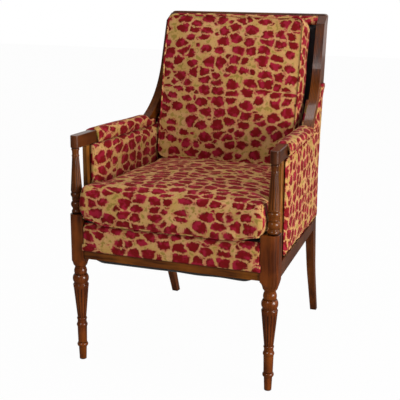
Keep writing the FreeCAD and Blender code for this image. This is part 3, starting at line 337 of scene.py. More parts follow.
def wovenCloth(name, light, dark, threadsPerMetre, roughness, sheen):
    material, tree, shader = newMaterial(name)
    place = addNode(tree, "ShaderNodeTexCoord").outputs["Object"]
    threads = []
    for scale in ((threadsPerMetre, 30.0, 30.0), (30.0, threadsPerMetre, threadsPerMetre)):
        threads.append(cloud(tree, stretch(tree, place, scale), 1.0, 2.0).outputs["Fac"])
    weave = calc(tree, "MULTIPLY", threads[0], threads[1])
    wear = cloud(tree, place, 11.0, 3.0).outputs["Fac"]
    tone = blendColour(tree, remap(tree, weave, 0.16, 0.36), dark, light)
    tone = blendColour(tree, remap(tree, wear, 0.45, 0.75, 0.0, 0.35), tone, dark)
    tree.links.new(tone, shader.inputs["Base Color"])
    shader.inputs["Roughness"].default_value = roughness
    shader.inputs["Sheen Weight"].default_value = sheen
    addBump(tree, shader, weave, 0.0006, 0.5)
    return material


def plainSteel(name):
    material, tree, shader = newMaterial(name)
    place = addNode(tree, "ShaderNodeTexCoord").outputs["Object"]
    haze = cloud(tree, place, 900.0, 3.0).outputs["Fac"]
    tone = blendColour(tree, haze, (0.30, 0.30, 0.31, 1), (0.52, 0.52, 0.53, 1))
    tree.links.new(tone, shader.inputs["Base Color"])
    tree.links.new(remap(tree, haze, 0.3, 0.7, 0.28, 0.45), shader.inputs["Roughness"])
    shader.inputs["Metallic"].default_value = 1.0
    return material


railFacts = {**woodFacts, "middle": (0.150, 0.0400, 0.0020, 1), "light": (0.240, 0.0740, 0.0045, 1)}
legFacts = {**woodFacts, "middle": (0.128, 0.0235, 0.0010, 1), "light": (0.205, 0.0490, 0.0026, 1)}
# painted light: the stumps are made much lighter than the rest of the mahogany, for the light that falls on
# them
litStumpFacts = {**woodFacts, "middle": (0.260, 0.0880, 0.0110, 1), "light": (0.380, 0.1500, 0.0240, 1)}
beechFacts = {**woodFacts, "dark": (0.30, 0.19, 0.10, 1), "middle": (0.48, 0.33, 0.19, 1),
              "light": (0.56, 0.42, 0.26, 1), "coat": 0.0, "roughness": (0.55, 0.7)}
armFacts = {**woodFacts, "middle": (0.068, 0.0170, 0.0038, 1), "light": (0.120, 0.0340, 0.0080, 1)}
# reeds of a turning: the piece and the height up to which its axis is sought, and their two ends
reedFacts = {"leg": ("front_leg_right", 0.10, 0.126, 0.212),
             "baluster": ("arm_baluster_right", 1.0, 0.488, 0.578)}
reeds = {key: turnedGrooves(axisOf(name, 0.0, top), low, high)
         for key, (name, top, low, high) in reedFacts.items()}
woods = {
    "x": mahogany("mahoganyAcross", 0, woodFacts),
    "y": mahogany("mahoganyBackwards", 1, armFacts),
    "rail": mahogany("mahoganyRail", 0, railFacts),
    "stump": mahogany("mahoganyStump", 2, litStumpFacts),
    "z": mahogany("mahoganyUpright", 2, woodFacts),
    "leg": mahogany("mahoganyLeg", 2, legFacts, reeds["leg"]),
    "baluster": mahogany("mahoganyBaluster", 2, woodFacts, reeds["baluster"]),
    "stile": mahogany("mahoganyStile", 2, woodFacts, stileGrooves),
}
printCloth = printedCloth("spottedChenille", printFacts, printScales)
beech = mahogany("plainBeech", 0, beechFacts)
# near-black cloth of the inside back: a dark lining, painted as dark as the shade in the gap behind the back
# cushion
darkLiningAndShade = wovenCloth("darkLiningAndShade", (0.012, 0.010, 0.011, 1), (0.004, 0.003, 0.004, 1), 1300.0, 0.9, 0.15)
cambric = wovenCloth("blackCambric", (0.016, 0.015, 0.016, 1), (0.006, 0.006, 0.006, 1), 1600.0, 0.85, 0.1)
jute = wovenCloth("jute", (0.42, 0.30, 0.17, 1), (0.24, 0.16, 0.08, 1), 700.0, 0.9, 0.1)
deckCloth = wovenCloth("deckCloth", (0.070, 0.042, 0.030, 1), (0.034, 0.020, 0.015, 1), 1100.0, 0.9, 0.2)
steel = plainSteel("screwSteel")
print("materials made")


def paint(piece, material):
    piece.data.materials.clear()
    piece.data.materials.append(material)


finishes = {
    "z": ["rear_leg_left", "rear_leg_right"],
    "stump": ["arm_stump_left", "arm_stump_right"],
    "rail": ["front_seat_rail"],
    "leg": ["front_leg_left", "front_leg_right"],
    "baluster": ["arm_baluster_left", "arm_baluster_right"],
    "stile": ["swept_stile_left", "swept_stile_right"],
    "x": ["rear_seat_rail", "crest_rail"],
    "y": ["side_seat_rail_left", "side_seat_rail_right", "arm_rail_left", "arm_rail_right"],
}
for axis, names in finishes.items():
    for name in names:
        paint(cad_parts[name], woods[axis])
for name in ("corner_blocks", "stile_dowels", "lower_back_rail"):
    paint(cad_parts[name], beech)
for name in ("seat_webbing", "cross_webbing", "deck_burlap", "back_webbing"):
    paint(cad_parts[name], jute)
paint(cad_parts["corner_block_screws"], steel)


# mesh helpers
def addPiece(name, mesh):
    piece = bpy.data.objects.new(name, mesh)
    scene.collection.objects.link(piece)
    return piece


def copyShell(node, name):
    # the outer skin of a CAD solid, merged, without any inner wall
    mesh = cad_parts[node].data.copy()
    mesh.materials.clear()
    shape = bmesh.new()
    shape.from_mesh(mesh)
    bmesh.ops.remove_doubles(shape, verts=shape.verts, dist=1e-5)
    groups, seen = [], set()
    for start in shape.verts:
        if start in seen:
            continue
        group, stack = [], [start]
        seen.add(start)
        while stack:
            vert = stack.pop()
            group.append(vert)
            for link in vert.link_edges:
                other = link.other_vert(vert)
                if other not in seen:
                    seen.add(other)
                    stack.append(other)
        groups.append(group)

    def reach(group):
        return sum(max(v.co[i] for v in group) - min(v.co[i] for v in group) for i in range(3))

    groups.sort(key=reach, reverse=True)
    spare = [vert for group in groups[1:] for vert in group]
    bmesh.ops.delete(shape, geom=spare, context="VERTS")
    shape.to_mesh(mesh)
    shape.free()
    return addPiece(name, mesh)


def settle(piece, voxel, smooth):
    # an even skin of small faces, softened
    skin = piece.modifiers.new("skin", "REMESH")
    skin.mode = "VOXEL"
    skin.voxel_size = voxel
    soft = piece.modifiers.new("soft", "SMOOTH")
    soft.factor = 0.5
    soft.iterations = smooth
    bake(piece)


def bake(piece):
    graph = bpy.context.evaluated_depsgraph_get()
    mesh = bpy.data.meshes.new_from_object(piece.evaluated_get(graph))
    old = piece.data
    piece.modifiers.clear()
    piece.data = mesh
    bpy.data.meshes.remove(old)


waiting = []


def addCloth(piece, pressure, cap, held, stiffness=12.0):
    # held tells how firmly a point stays where it is
    group = piece.vertex_groups.new(name="held")
    for vert in piece.data.vertices:
        weight = held(vert.co)
        if weight > 0:
            group.add([vert.index], weight, "REPLACE")
    cloth = piece.modifiers.new("cloth", "CLOTH")
    settings = cloth.settings
    settings.quality = 4
    settings.mass = 0.3
    settings.tension_stiffness = stiffness
    settings.compression_stiffness = stiffness
    settings.shear_stiffness = stiffness / 2
    settings.bending_stiffness = 0.4
    settings.use_pressure = True
    settings.uniform_pressure_force = pressure
    settings.vertex_group_mass = "held"
    settings.effector_weights.gravity = 0
    cloth.collision_settings.use_collision = False
    cloth.point_cache.frame_start = 1
    cloth.point_cache.frame_end = 20
    waiting.append((piece, cap))


def runCloth():
    starts = {piece.name: [vert.co.copy() for vert in piece.data.vertices] for piece, cap in waiting}
    for step in range(1, 21):
        scene.frame_set(step)
    for piece, cap in waiting:
        bake(piece)
    scene.frame_set(1)
    for piece, cap in waiting:
        for vert, start in zip(piece.data.vertices, starts[piece.name]):
            move = vert.co - start
            if move.length > cap:
                vert.co = start + move * (cap / move.length)


def unfold(piece, along, up, out, lip, offset):
    # lays the print flat over the main face and folds it down the sides
    mesh = piece.data
    layer = mesh.uv_layers.get("cloth") or mesh.uv_layers.new(name="cloth")
    along, up, out = Vector(along), Vector(up), Vector(out)
    places = [(v.co.dot(along), v.co.dot(up), v.co.dot(out)) for v in mesh.vertices]
    topOut = max(p[2] for p in places)
    midUp = (max(p[1] for p in places) + min(p[1] for p in places)) / 2
    for face in mesh.polygons:
        facing = face.normal
        sideways = abs(facing.dot(along)) > 0.72
        sign = 1 if facing.dot(along) > 0 else -1
        for corner in face.loop_indices:
            u, v, height = places[mesh.loops[corner].vertex_index]
            drop = topOut - height
            if sideways:
                u += sign * (drop - lip)
            else:
                v += drop if v > midUp else -drop
            layer.data[corner].uv = (u + offset[0], v + offset[1])


def crease(piece, size, amount, seed):
    # slight unevenness of stuffed cloth
    normals = [vert.normal.copy() for vert in piece.data.vertices]
    for vert, normal in zip(piece.data.vertices, normals):
        place = vert.co * (1 / size) + Vector((seed, seed * 2, seed * 3))
        vert.co += normal * (noise.noise(place) * amount)


def shadeSmooth(piece):
    for face in piece.data.polygons:
        face.use_smooth = True


def roundOff(piece):
    levels = piece.modifiers.new("roundness", "SUBSURF")
    levels.levels = 1
    levels.render_levels = 1


def sidePlane(y, offset):
    # x of a plane of the right side frame
    return 0.276 - toeIn * (y + 0.304) + offset


# welts that follow a path are laid by one node tree
def weltTree():
    tree = bpy.data.node_groups.new("weltAlongPath", "GeometryNodeTree")
    tree.interface.new_socket("Path", in_out="INPUT", socket_type="NodeSocketGeometry")
    for name, default in (("Radius", 0.0025), ("Spacing", 0.004)):
        socket = tree.interface.new_socket(name, in_out="INPUT", socket_type="NodeSocketFloat")
        socket.default_value = default
    tree.interface.new_socket("Cloth", in_out="INPUT", socket_type="NodeSocketMaterial")
    tree.interface.new_socket("Welt", in_out="OUTPUT", socket_type="NodeSocketGeometry")
    start = tree.nodes.new("NodeGroupInput")
    end = tree.nodes.new("NodeGroupOutput")
    even = tree.nodes.new("GeometryNodeResampleCurve")
    even.mode = "LENGTH"
    profile = tree.nodes.new("GeometryNodeCurvePrimitiveCircle")
    profile.inputs["Resolution"].default_value = 8
    tube = tree.nodes.new("GeometryNodeCurveToMesh")
    real = tree.nodes.new("GeometryNodeRealizeInstances")
    dress = tree.nodes.new("GeometryNodeSetMaterial")
    join = tree.links.new
    join(start.outputs["Path"], even.inputs["Curve"])
    join(start.outputs["Spacing"], even.inputs["Length"])
    join(start.outputs["Radius"], profile.inputs["Radius"])
    join(even.outputs["Curve"], tube.inputs["Curve"])
    join(profile.outputs["Curve"], tube.inputs["Profile Curve"])
    join(tube.outputs["Mesh"], real.inputs["Geometry"])
    join(real.outputs["Geometry"], dress.inputs["Geometry"])
    join(start.outputs["Cloth"], dress.inputs["Material"])
    join(dress.outputs["Geometry"], end.inputs["Welt"])
    return tree


welts = weltTree()


def layWelt(name, points, radius, closed, material, spacing=0.004):
    curve = bpy.data.curves.new(name + "Path", "CURVE")
    curve.dimensions = "3D"
    line = curve.splines.new("POLY")
    line.points.add(len(points) - 1)
    for point, place in zip(line.points, points):
        point.co = (*place, 1)
    line.use_cyclic_u = closed
    holder = bpy.data.objects.new(name + "Path", curve)
    scene.collection.objects.link(holder)
    laid = holder.modifiers.new("welt", "NODES")
    laid.node_group = welts
    sockets = {item.name: item.identifier for item in welts.interface.items_tree if item.in_out == "INPUT"}
    laid[sockets["Radius"]] = radius
    laid[sockets["Spacing"]] = spacing
    laid[sockets["Cloth"]] = material
    graph = bpy.context.evaluated_depsgraph_get()
    graph.update()
    mesh = bpy.data.meshes.new_from_object(holder.evaluated_get(graph))
    bpy.data.objects.remove(holder)
    piece = addPiece(name, mesh)
    shadeSmooth(piece)
    return piece


def smoothStep(low, high, value):
    share = max(0.0, min(1.0, (value - low) / (high - low)))
    return share * share * (3 - 2 * share)


def roundCorner(x, y, halfX, halfY, radius):
    # a point of a rectangle moved into the same rectangle with rounded corners
    beyondX = abs(x) - (halfX - radius)
    beyondY = abs(y) - (halfY - radius)
    if beyondX <= 0 or beyondY <= 0:
        return x, y
    reach = max(beyondX, beyondY) / math.hypot(beyondX, beyondY)
    return (math.copysign(halfX - radius + beyondX * reach, x),
            math.copysign(halfY - radius + beyondY * reach, y))


def boxedForm(name, counts, form):
    # face, boxing strip and reverse of a cushion; returns the piece and the seam of each side
    across, along, rows = counts
    shape = bmesh.new()

    def spot(i, j, rise, crowned):
        return shape.verts.new(form(2 * i / across - 1, 2 * j / along - 1, rise, crowned))

    grids = []
    for rise in (1, 0):
        grids.append([[spot(i, j, rise, True) for j in range(along + 1)] for i in range(across + 1)])
    rim = [(i, 0) for i in range(across)] + [(across, j) for j in range(along)]
    rim += [(i, along) for i in range(across, 0, -1)] + [(0, j) for j in range(along, 0, -1)]
    rings = [[grids[0][i][j] for i, j in rim]]
    for row in range(1, rows):
        rings.append([spot(i, j, 1 - row / rows, False) for i, j in rim])
    rings.append([grids[1][i][j] for i, j in rim])
    for grid in grids:
        for i in range(across):
            for j in range(along):
                shape.faces.new((grid[i][j], grid[i + 1][j], grid[i + 1][j + 1], grid[i][j + 1]))
    count = len(rim)
    for upper, lower in zip(rings, rings[1:]):
        for index in range(count):
            after = (index + 1) % count
            shape.faces.new((upper[index], upper[after], lower[after], lower[index]))
    bmesh.ops.recalc_face_normals(shape, faces=shape.faces)
    shape.verts.index_update()
    seams = [[vert.index for vert in rings[0]], [vert.index for vert in rings[-1]]]
    mesh = bpy.data.meshes.new(name)
    shape.to_mesh(mesh)
    shape.free()
    return addPiece(name, mesh), seams


def soften(piece, share, rounds):
    # rounds the edges where share(place) is above zero
    group = piece.vertex_groups.new(name="softened")
    for vert in piece.data.vertices:
        weight = share(vert.co)
        if weight > 0:
            group.add([vert.index], weight, "REPLACE")
    soft = piece.modifiers.new("soft", "SMOOTH")
    soft.factor = 0.5
    soft.iterations = rounds
    soft.vertex_group = "softened"
    bake(piece)


# loose seat cushion
seatFacts = {"counts": (84, 80, 16), "halfWidth": 0.2565, "front": -0.3300, "rear": 0.1580, "corner": 0.016,
             "boxing": 0.096, "crown": 0.017, "bulge": 0.0060, "frontBulge": 0.0065, "lift": 0.011,
             "rearRise": 0.011, "tuck": 0.0065, "pressure": 2.5, "cap": 0.006, "welt": 0.0021,
             "creaseSize": 0.06, "crease": 0.0030}
# the room between the arms, the blocks, the back cushion and the border
seatRoom = {"half": 0.2600, "armsFrom": -0.24, "fromArm": -0.0243, "blockTop": 0.4245, "blockRear": -0.28,
            "blockHalf": 0.2487, "front": -0.3400, "rear": 0.1595}


def deckHeight(y):
    return 0.4033 - math.tan(deckPitch) * (y + 0.326)


def seatHalfWidth(y, facts):
    return facts["halfWidth"] + (sidePlane(y, -0.0250) - facts["halfWidth"]) * smoothStep(-0.268, -0.232, y)


def seatForm(a, b, rise, crowned):
    facts = seatFacts
    half = (facts["rear"] - facts["front"]) / 2
    x, y = roundCorner(a * facts["halfWidth"], b * half, facts["halfWidth"], half, facts["corner"])
    y += facts["front"] + half
    swell = math.sin(math.pi * min(1.0, rise))
    x = x / facts["halfWidth"] * seatHalfWidth(y, facts)
    x += math.copysign(facts["bulge"] * swell * abs(a) ** 8, a)
    y -= facts["frontBulge"] * swell * max(0.0, -b) ** 8
    height = (facts["boxing"] + facts["rearRise"] * smoothStep(-1.0, 1.0, b)) * rise
    if crowned and rise > 0:
        height += facts["crown"] * (1 - abs(a) ** 2.6) * (1 - abs(b) ** 3.0)
    corner = smoothStep(0.165, 0.252, abs(x)) * smoothStep(-0.24, -0.31, y)
    height += facts["lift"] * corner * (1 - rise) ** 2
    x -= math.copysign(facts["tuck"] * smoothStep(0.35, 0.0, rise) * abs(a) ** 4, a)
    return x, y, deckHeight(y) + height


def makeSeatCushion(facts):
    piece, seams = boxedForm("seatCushion", facts["counts"], seatForm)

    def topEdge(place):
        rise = place.z - deckHeight(place.y)
        return smoothStep(0.06, 0.09, rise) * (0.2 + 0.8 * smoothStep(-0.20, -0.30, place.y)
                                               * smoothStep(0.252, 0.205, abs(place.x)))

    soften(piece, topEdge, 10)

    def held(place):
        return 1.0 if place.z - deckHeight(place.y) < 0.004 else 0.0

    addCloth(piece, facts["pressure"], facts["cap"], held)
    return piece, seams


def fitSeatCushion(piece, facts, room):
    crease(piece, facts["creaseSize"], facts["crease"], 3.1)
    for vert in piece.data.vertices:
        x, y, z = vert.co
        limit = room["half"] if y < room["armsFrom"] else sidePlane(y, room["fromArm"])
        if z < room["blockTop"] and y < room["blockRear"]:
            limit = room["blockHalf"]
        y = max(room["front"], min(room["rear"], y))
        vert.co = (max(-limit, min(limit, x)), y, max(z, deckHeight(vert.co.y)))


# loose back cushion
backFacts = {"counts": (70, 74, 15), "halfWidth": 0.2115, "foot": 0.4900, "length": 0.4320, "corner": 0.024,
             "boxing": 0.086, "crown": 0.016, "bulge": 0.0040, "aside": -0.0035,
             "pressure": 2.5, "cap": 0.007, "welt": 0.0027, "creaseSize": 0.07, "crease": 0.0028}
leanUp = Vector((0, math.sin(backLean), math.cos(backLean)))
leanOut = Vector((0, -math.cos(backLean), math.sin(backLean)))


def leanPlane(z):
    return 0.276 - math.tan(backLean) * (0.900 - z)


def backForm(a, b, rise, crowned):
    facts = backFacts
    half = facts["length"] / 2
    x, along = roundCorner(a * facts["halfWidth"], b * half, facts["halfWidth"], half, facts["corner"])
    swell = math.sin(math.pi * min(1.0, rise))
    waist = 1 + 0.010 * math.cos(b * 1.9) - 0.012 * (1 - rise) + 0.012 * min(0.0, b)
    x = x * waist + math.copysign(facts["bulge"] * swell * abs(a) ** 8, a)
    along += math.copysign(facts["bulge"] * 0.6 * swell * abs(b) ** 8, b) + half
    out = facts["boxing"] * rise + 0.0006
    if crowned and rise > 0:
        out += facts["crown"] * (1 - abs(a) ** 2.4) * (1 - abs(b) ** 2.4)
    start = Vector((facts["aside"], leanPlane(facts["foot"]), facts["foot"]))
    return start + Vector((x, 0, 0)) + leanUp * along + leanOut * out


def makeBackCushion(facts):
    piece, seams = boxedForm("backCushion", facts["counts"], backForm)

    def frontEdge(place):
        return 0.6 * smoothStep(0.074, 0.084, (leanPlane(place.z) - place.y) * math.cos(backLean))

    soften(piece, frontEdge, 3)
    front = [piece.data.vertices[index].co.copy() for index in seams[0]]

    def held(place):
        if (leanPlane(place.z) - place.y) * math.cos(backLean) < 0.004:
            return 1.0
        return 1.0 if min((place - spot).length_squared for spot in front) < 1e-8 else 0.0

    addCloth(piece, facts["pressure"], facts["cap"], held)
    return piece, seams


def fitBackCushion(piece, facts):
    crease(piece, facts["creaseSize"], facts["crease"], 7.7)
    for vert in piece.data.vertices:
        vert.co.y = min(vert.co.y, leanPlane(vert.co.z) - 0.0006)


# padded parts that are fixed to the frame
padRows = {
    "armPadLeft": ("arm_pad_left", 0.004, 8, 3.0, 0.0045),
    "armPadRight": ("arm_pad_right", 0.004, 8, 3.0, 0.0045),
    "insideArmLeft": ("inside_arm_left", 0.005, 2, 2.5, 0.004),
    "insideArmRight": ("inside_arm_right", 0.005, 2, 2.5, 0.004),
    "outsideArmLeft": ("outside_arm_left", 0.004, 2, 2.0, 0.003),
    "outsideArmRight": ("outside_arm_right", 0.004, 2, 2.0, 0.003),
    "frontBorder": ("front_border", 0.003, 2, 2.0, 0.003),
    "insideBack": ("inside_back", 0.006, 2, 1.5, 0.002),
    "crestBand": ("inside_back_band", 0.003, 2, 1.5, 0.0015),
    "outsideBack": ("outside_back", 0.0035, 2, 1.5, 0.002),
    "deckPad": ("deck_pad", 0.006, 3, 1.5, 0.0003),
}
padKeys = ("node", "voxel", "smooth", "pressure", "cap")
padFacts = {name: dict(zip(padKeys, row)) for name, row in padRows.items()}


def makePad(name, facts):
    piece = copyShell(facts["node"], name)
    settle(piece, facts["voxel"], facts["smooth"])
    return piece


seatCushion, seatSeams = makeSeatCushion(seatFacts)
backCushion, backSeams = makeBackCushion(backFacts)
pads = {name: makePad(name, facts) for name, facts in padFacts.items()}
print("skins made")


# where each pad stays on its frame: from a side plane, a height, a depth or the lining of the back
heldFrom = {"insideArm": -0.012, "outsideArm": 0.0095, "armPad": 0.607, "frontBorder": -0.3205, "back": 0.004}


def heldPad(name, facts):
    if name.startswith("insideArm"):
        return lambda p: 1.0 if abs(p.x) > sidePlane(p.y, facts["insideArm"]) else 0.0
    if name.startswith("outsideArm"):
        return lambda p: 1.0 if abs(p.x) < sidePlane(p.y, facts["outsideArm"]) else 0.0
    if name.startswith("armPad"):
        return lambda p: 1.0 if p.z < facts["armPad"] else 0.0
    if name == "frontBorder":
        return lambda p: 1.0 if p.y > facts["frontBorder"] else 0.0
    return lambda p: 1.0 if p.y > leanPlane(p.z) + facts["back"] else 0.0


for name, facts in padFacts.items():
    if name not in ("outsideBack", "deckPad"):
        addCloth(pads[name], facts["pressure"], facts["cap"], heldPad(name, heldFrom))
runCloth()
print("cushions filled")

fitSeatCushion(seatCushion, seatFacts, seatRoom)
fitBackCushion(backCushion, backFacts)

padShape = {"low": 0.620, "rise": 0.80, "fall": 0.16, "fallFrom": -0.16, "sink": 0.614, "sunk": 0.65,
            "outer": 0.0165, "swell": 0.0068, "rollLow": 0.6045, "rollHigh": 0.616, "front": -0.190,
            "reach": 0.0095,
            "foot": min(vert.co.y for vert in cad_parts["swept_stile_left"].data.vertices)}
panelShape = {"low": 0.69, "high": 0.75, "front": 0.100, "rear": 0.190, "swell": 0.0055, "back": 0.0035,
              "tuck": 0.0018, "tuckFrom": 0.592, "tuckTo": 0.606}
borderShape = {"face": -0.3195, "roll": 0.0055, "rollDeep": 0.016, "proud": 0.0042,
               "full": -0.3266, "wider": 1.010}


def shapePad(piece, facts):
    # lower crown, fuller outer side, and an end that wraps round the handhold
    for vert in piece.data.vertices:
        x, y, z = vert.co
        if z > facts["low"]:
            rise = facts["rise"] - facts["fall"] * smoothStep(facts["fallFrom"], facts["foot"], y)
            z = facts["low"] + (z - facts["low"]) * rise
        if z > facts["sink"]:
            behind = smoothStep(facts["foot"] - 0.010, facts["foot"] + 0.006, y)
            z -= facts["sunk"] * (z - facts["sink"]) * behind
        out = abs(x) - sidePlane(y, 0)
        wide = smoothStep(0.004, facts["outer"], out) * smoothStep(facts["rollLow"], facts["rollHigh"], z)
        x += math.copysign(facts["swell"] * wide, x)
        y -= facts["reach"] * wide * smoothStep(facts["front"], facts["front"] - 0.020, y)
        vert.co = (x, y, z)


def shapePanel(piece, facts):
    # fuller upper rear end, and a top edge drawn in under the pad
    for vert in piece.data.vertices:
        x, y, z = vert.co
        full = smoothStep(facts["low"], facts["high"], z) * smoothStep(facts["front"], facts["rear"], y)
        full *= smoothStep(0.002, 0.010, abs(x) - sidePlane(y, 0))
        tucked = smoothStep(facts["tuckFrom"], facts["tuckFrom"] + 0.008, z)
        tucked *= smoothStep(facts["tuckTo"], facts["tuckTo"] - 0.004, z) * smoothStep(0.030, -0.010, y)
        out = facts["swell"] * full - facts["tuck"] * tucked
        vert.co = (x + math.copysign(out, x), y + facts["back"] * full, z)


def shapeBorder(piece, facts):
    # rolled top edge on a face that stands proud of the blocks
    top = max(vert.co.z for vert in piece.data.vertices)
    for vert in piece.data.vertices:
        if vert.co.y < facts["face"]:
            vert.co.y += facts["roll"] * smoothStep(top - facts["rollDeep"], top - 0.002, vert.co.z)
        if vert.co.y < facts["face"]:
            vert.co.y -= facts["proud"]
        if vert.co.y < facts["full"]:
            vert.co.x *= facts["wider"]


for side in ("Left", "Right"):
    shapePad(pads["armPad" + side], padShape)
    shapePanel(pads["outsideArm" + side], panelShape)
shapeBorder(pads["frontBorder"], borderShape)
deckOut = (0, math.sin(deckPitch), math.cos(deckPitch))
unfold(seatCushion, (1, 0, 0), (0, 1, 0), deckOut, 0.012, (0.013, 0.021))
unfold(backCushion, (1, 0, 0), leanUp, leanOut, 0.010, (0.31, 0.17))
layouts = {
    "armPadLeft": ((0, 1, 0), (1, -toeIn, 0), (0, 0, 1), 0.0, (0.5, 0.6)),
    "armPadRight": ((0, 1, 0), (-1, -toeIn, 0), (0, 0, 1), 0.0, (0.9, 0.2)),
    "insideArmLeft": ((0, 1, 0), (0, 0, -1), (1, -toeIn, 0), 0.0, (0.5, 1.0024)),
    "insideArmRight": ((0, 1, 0), (0, 0, -1), (-1, -toeIn, 0), 0.0, (0.9, 0.6024)),
    "outsideArmLeft": ((0, 1, 0), (0, 0, 1), (-1, toeIn, 0), 0.0, (1.2, 0.4)),
    "outsideArmRight": ((0, 1, 0), (0, 0, 1), (1, toeIn, 0), 0.0, (1.7, 0.8)),
    "frontBorder": ((1, 0, 0), (0, 0, 1), (0, -1, 0), 0.0, (2.1, 0.1)),
    "crestBand": ((1, 0, 0), leanUp, leanOut, 0.0, (2.6, 0.3)),
    "outsideBack": ((1, 0, 0), (0, 0.175, 0.985), (0, 0.985, -0.175), 0.0, (3.1, 0.5)),
}
for name, layout in layouts.items():
    unfold(pads[name], *layout)

cushionParts = {
    "seatCushion": (seatCushion, "seat_cushion", ("seat_cushion_cover", "seat_cushion_core"), 0.8),
    "backCushion": (backCushion, "back_cushion", ("back_cushion_cover", "back_cushion_core"), 0.85),
}
backSeam = [backCushion.data.vertices[index].co + leanOut * 0.0008 for index in backSeams[0]]
backWelt = layWelt("backCushionWelt", backSeam, backFacts["welt"], True, printCloth)
unfold(backWelt, (1, 0, 0), leanUp, leanOut, 0.0, (0.36, 0.02))
lowSeam = [seatCushion.data.vertices[index].co for index in seatSeams[1]]
firstRear = next(index for index, place in enumerate(lowSeam) if place.y > -0.25)
lastRear = max(index for index, place in enumerate(lowSeam) if place.y > -0.25)
frontSeam = [place + Vector((0, -0.0012, 0.0015)) for place in lowSeam[lastRear + 1:] + lowSeam[:firstRear]]
seatWelt = layWelt("seatCushionWelt", frontSeam, seatFacts["welt"], False, printCloth)
unfold(seatWelt, (1, 0, 0), (0, 1, 0), (0, 0, 1), 0.0, (0.413, 0.335))
for piece, body in ((backWelt, "back_cushion"), (seatWelt, "seat_cushion")):
    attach(piece, body)
for name, (piece, body, nodes, fill) in cushionParts.items():
    paint(piece, printCloth)
    shadeSmooth(piece)
    roundOff(piece)
    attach(piece, body)
    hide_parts(*nodes)
for name, piece in pads.items():
    # the inside back gets the near-black lining, which also stands for the painted shade behind the back
    # cushion
    cloth = {"insideBack": darkLiningAndShade, "deckPad": deckCloth}.get(name, printCloth)
    paint(piece, cloth)
    shadeSmooth(piece)
    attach(piece, "chair_frame")
    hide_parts(padFacts[name]["node"])
print("cushions and pads dressed")


# gimp along the lower edge of the front border
gimpFacts = {"low": 0.3257, "high": 0.3455, "front": -0.3292, "rear": -0.3262, "half": 0.2510,
             "steps": 120, "ripple": 0.0006}


def makeGimp(facts):
    mesh = bpy.data.meshes.new("frontGimp")
    shape = bmesh.new()
    low, high, rear = facts["low"], facts["high"], facts["rear"]
    rings = []
    for index in range(facts["steps"] + 1):
        x = facts["half"] * (2 * index / facts["steps"] - 1)
        front = facts["front"] + facts["ripple"] * noise.noise(Vector((x * 40, 1.7, 0)))
        ring = [(rear, low), (front, low + 0.0012), (front - 0.0008, low + 0.006),
                (front - 0.0002, high - 0.005), (front + 0.0012, high), (rear, high)]
        rings.append([shape.verts.new((x, y, z)) for y, z in ring])
    for first, second in zip(rings, rings[1:]):
        for index in range(6):
            shape.faces.new((first[index], first[(index + 1) % 6], second[(index + 1) % 6], second[index]))
    shape.faces.new(rings[0])
    shape.faces.new(list(reversed(rings[-1])))
    bmesh.ops.recalc_face_normals(shape, faces=shape.faces)
    shape.to_mesh(mesh)
    shape.free()
    piece = addPiece("frontGimp", mesh)
    unfold(piece, (1, 0, 0), (0, 0, 1), (0, -1, 0), 0.0, (2.1, 0.1035))
    return piece


gimp = makeGimp(gimpFacts)
paint(gimp, printCloth)
shadeSmooth(gimp)
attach(gimp, "chair_frame")
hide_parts("front_border_gimp")

# dust cover under the seat, a little slack, with a loose fold behind the front rail
dustFacts = {"front": -0.3140, "knee": -0.2810, "notch": 0.1955, "rear": 0.2285, "frontHalf": 0.2478,
             "onRail": 0.0065, "pastPost": -0.0140, "high": 0.3029, "low": 0.3019, "sag": 0.0065,
             "fold": 0.0125, "foldFrom": 0.010, "foldTo": 0.062, "across": 60, "along": 110}


def dustEdge(y, facts):
    if y < facts["knee"]:
        return facts["frontHalf"]
    return sidePlane(y, facts["onRail"] if y < facts["notch"] else facts["pastPost"])


def dustSag(share, y, facts):
    ahead, behind = y - facts["front"], facts["rear"] - y
    slack = min(1.0, 3 * (1 - abs(share))) * min(1.0, 12 * ahead, 12 * behind)
    bag = smoothStep(0, facts["foldFrom"], ahead) * smoothStep(facts["foldTo"], 0.018, ahead)
    bag *= smoothStep(0.98, 0.80, abs(share))
    bag *= 0.92 + 0.35 * noise.noise(Vector((share * 2.6, 4.2, 0)))
    return facts["sag"] * max(0.0, slack) + facts["fold"] * bag


def makeDustCover(facts):
    shape = bmesh.new()
    layers = []
    for height in (facts["high"], facts["low"]):
        grid = []
        for j in range(facts["along"] + 1):
            y = facts["front"] + (facts["rear"] - facts["front"]) * j / facts["along"]
            line = []
            for i in range(facts["across"] + 1):
                share = 2 * i / facts["across"] - 1
                sag = dustSag(share, y, facts)
                line.append(shape.verts.new((share * dustEdge(y, facts), y, height - sag)))
            grid.append(line)
        layers.append(grid)
    for grid in layers:
        for j in range(facts["along"]):
            for i in range(facts["across"]):
                shape.faces.new((grid[j][i], grid[j][i + 1], grid[j + 1][i + 1], grid[j + 1][i]))
    across, along = facts["across"], facts["along"]
    ends = [(0, i) for i in range(across)] + [(j, across) for j in range(along)]
    ends += [(along, i) for i in range(across, 0, -1)] + [(j, 0) for j in range(along, 0, -1)]
    for first, second in zip(ends, ends[1:] + ends[:1]):
        top, bottom = layers
        shape.faces.new((top[first[0]][first[1]], top[second[0]][second[1]],
                         bottom[second[0]][second[1]], bottom[first[0]][first[1]]))
    bmesh.ops.recalc_face_normals(shape, faces=shape.faces)
    mesh = bpy.data.meshes.new("dustCover")
    shape.to_mesh(mesh)
    shape.free()
    return addPiece("dustCover", mesh)


dust = makeDustCover(dustFacts)
paint(dust, cambric)
shadeSmooth(dust)
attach(dust, "chair_frame")
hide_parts("dust_cover")
print("trim made")


# floor, backdrop and light
stageFacts = {"reach": 9, "below": 0.0006, "floor": (0.60, 0.58, 0.56, 1), "shadow": 0.025,
              "world": (0.86, 0.90, 1.0, 1), "worldStrength": 0.30, "mirrored": (0.13, 0.11, 0.10, 1),
              "dark": (0.045, 0.038, 0.034, 1), "sweep": (0.78, 0.74, 0.72, 1)}


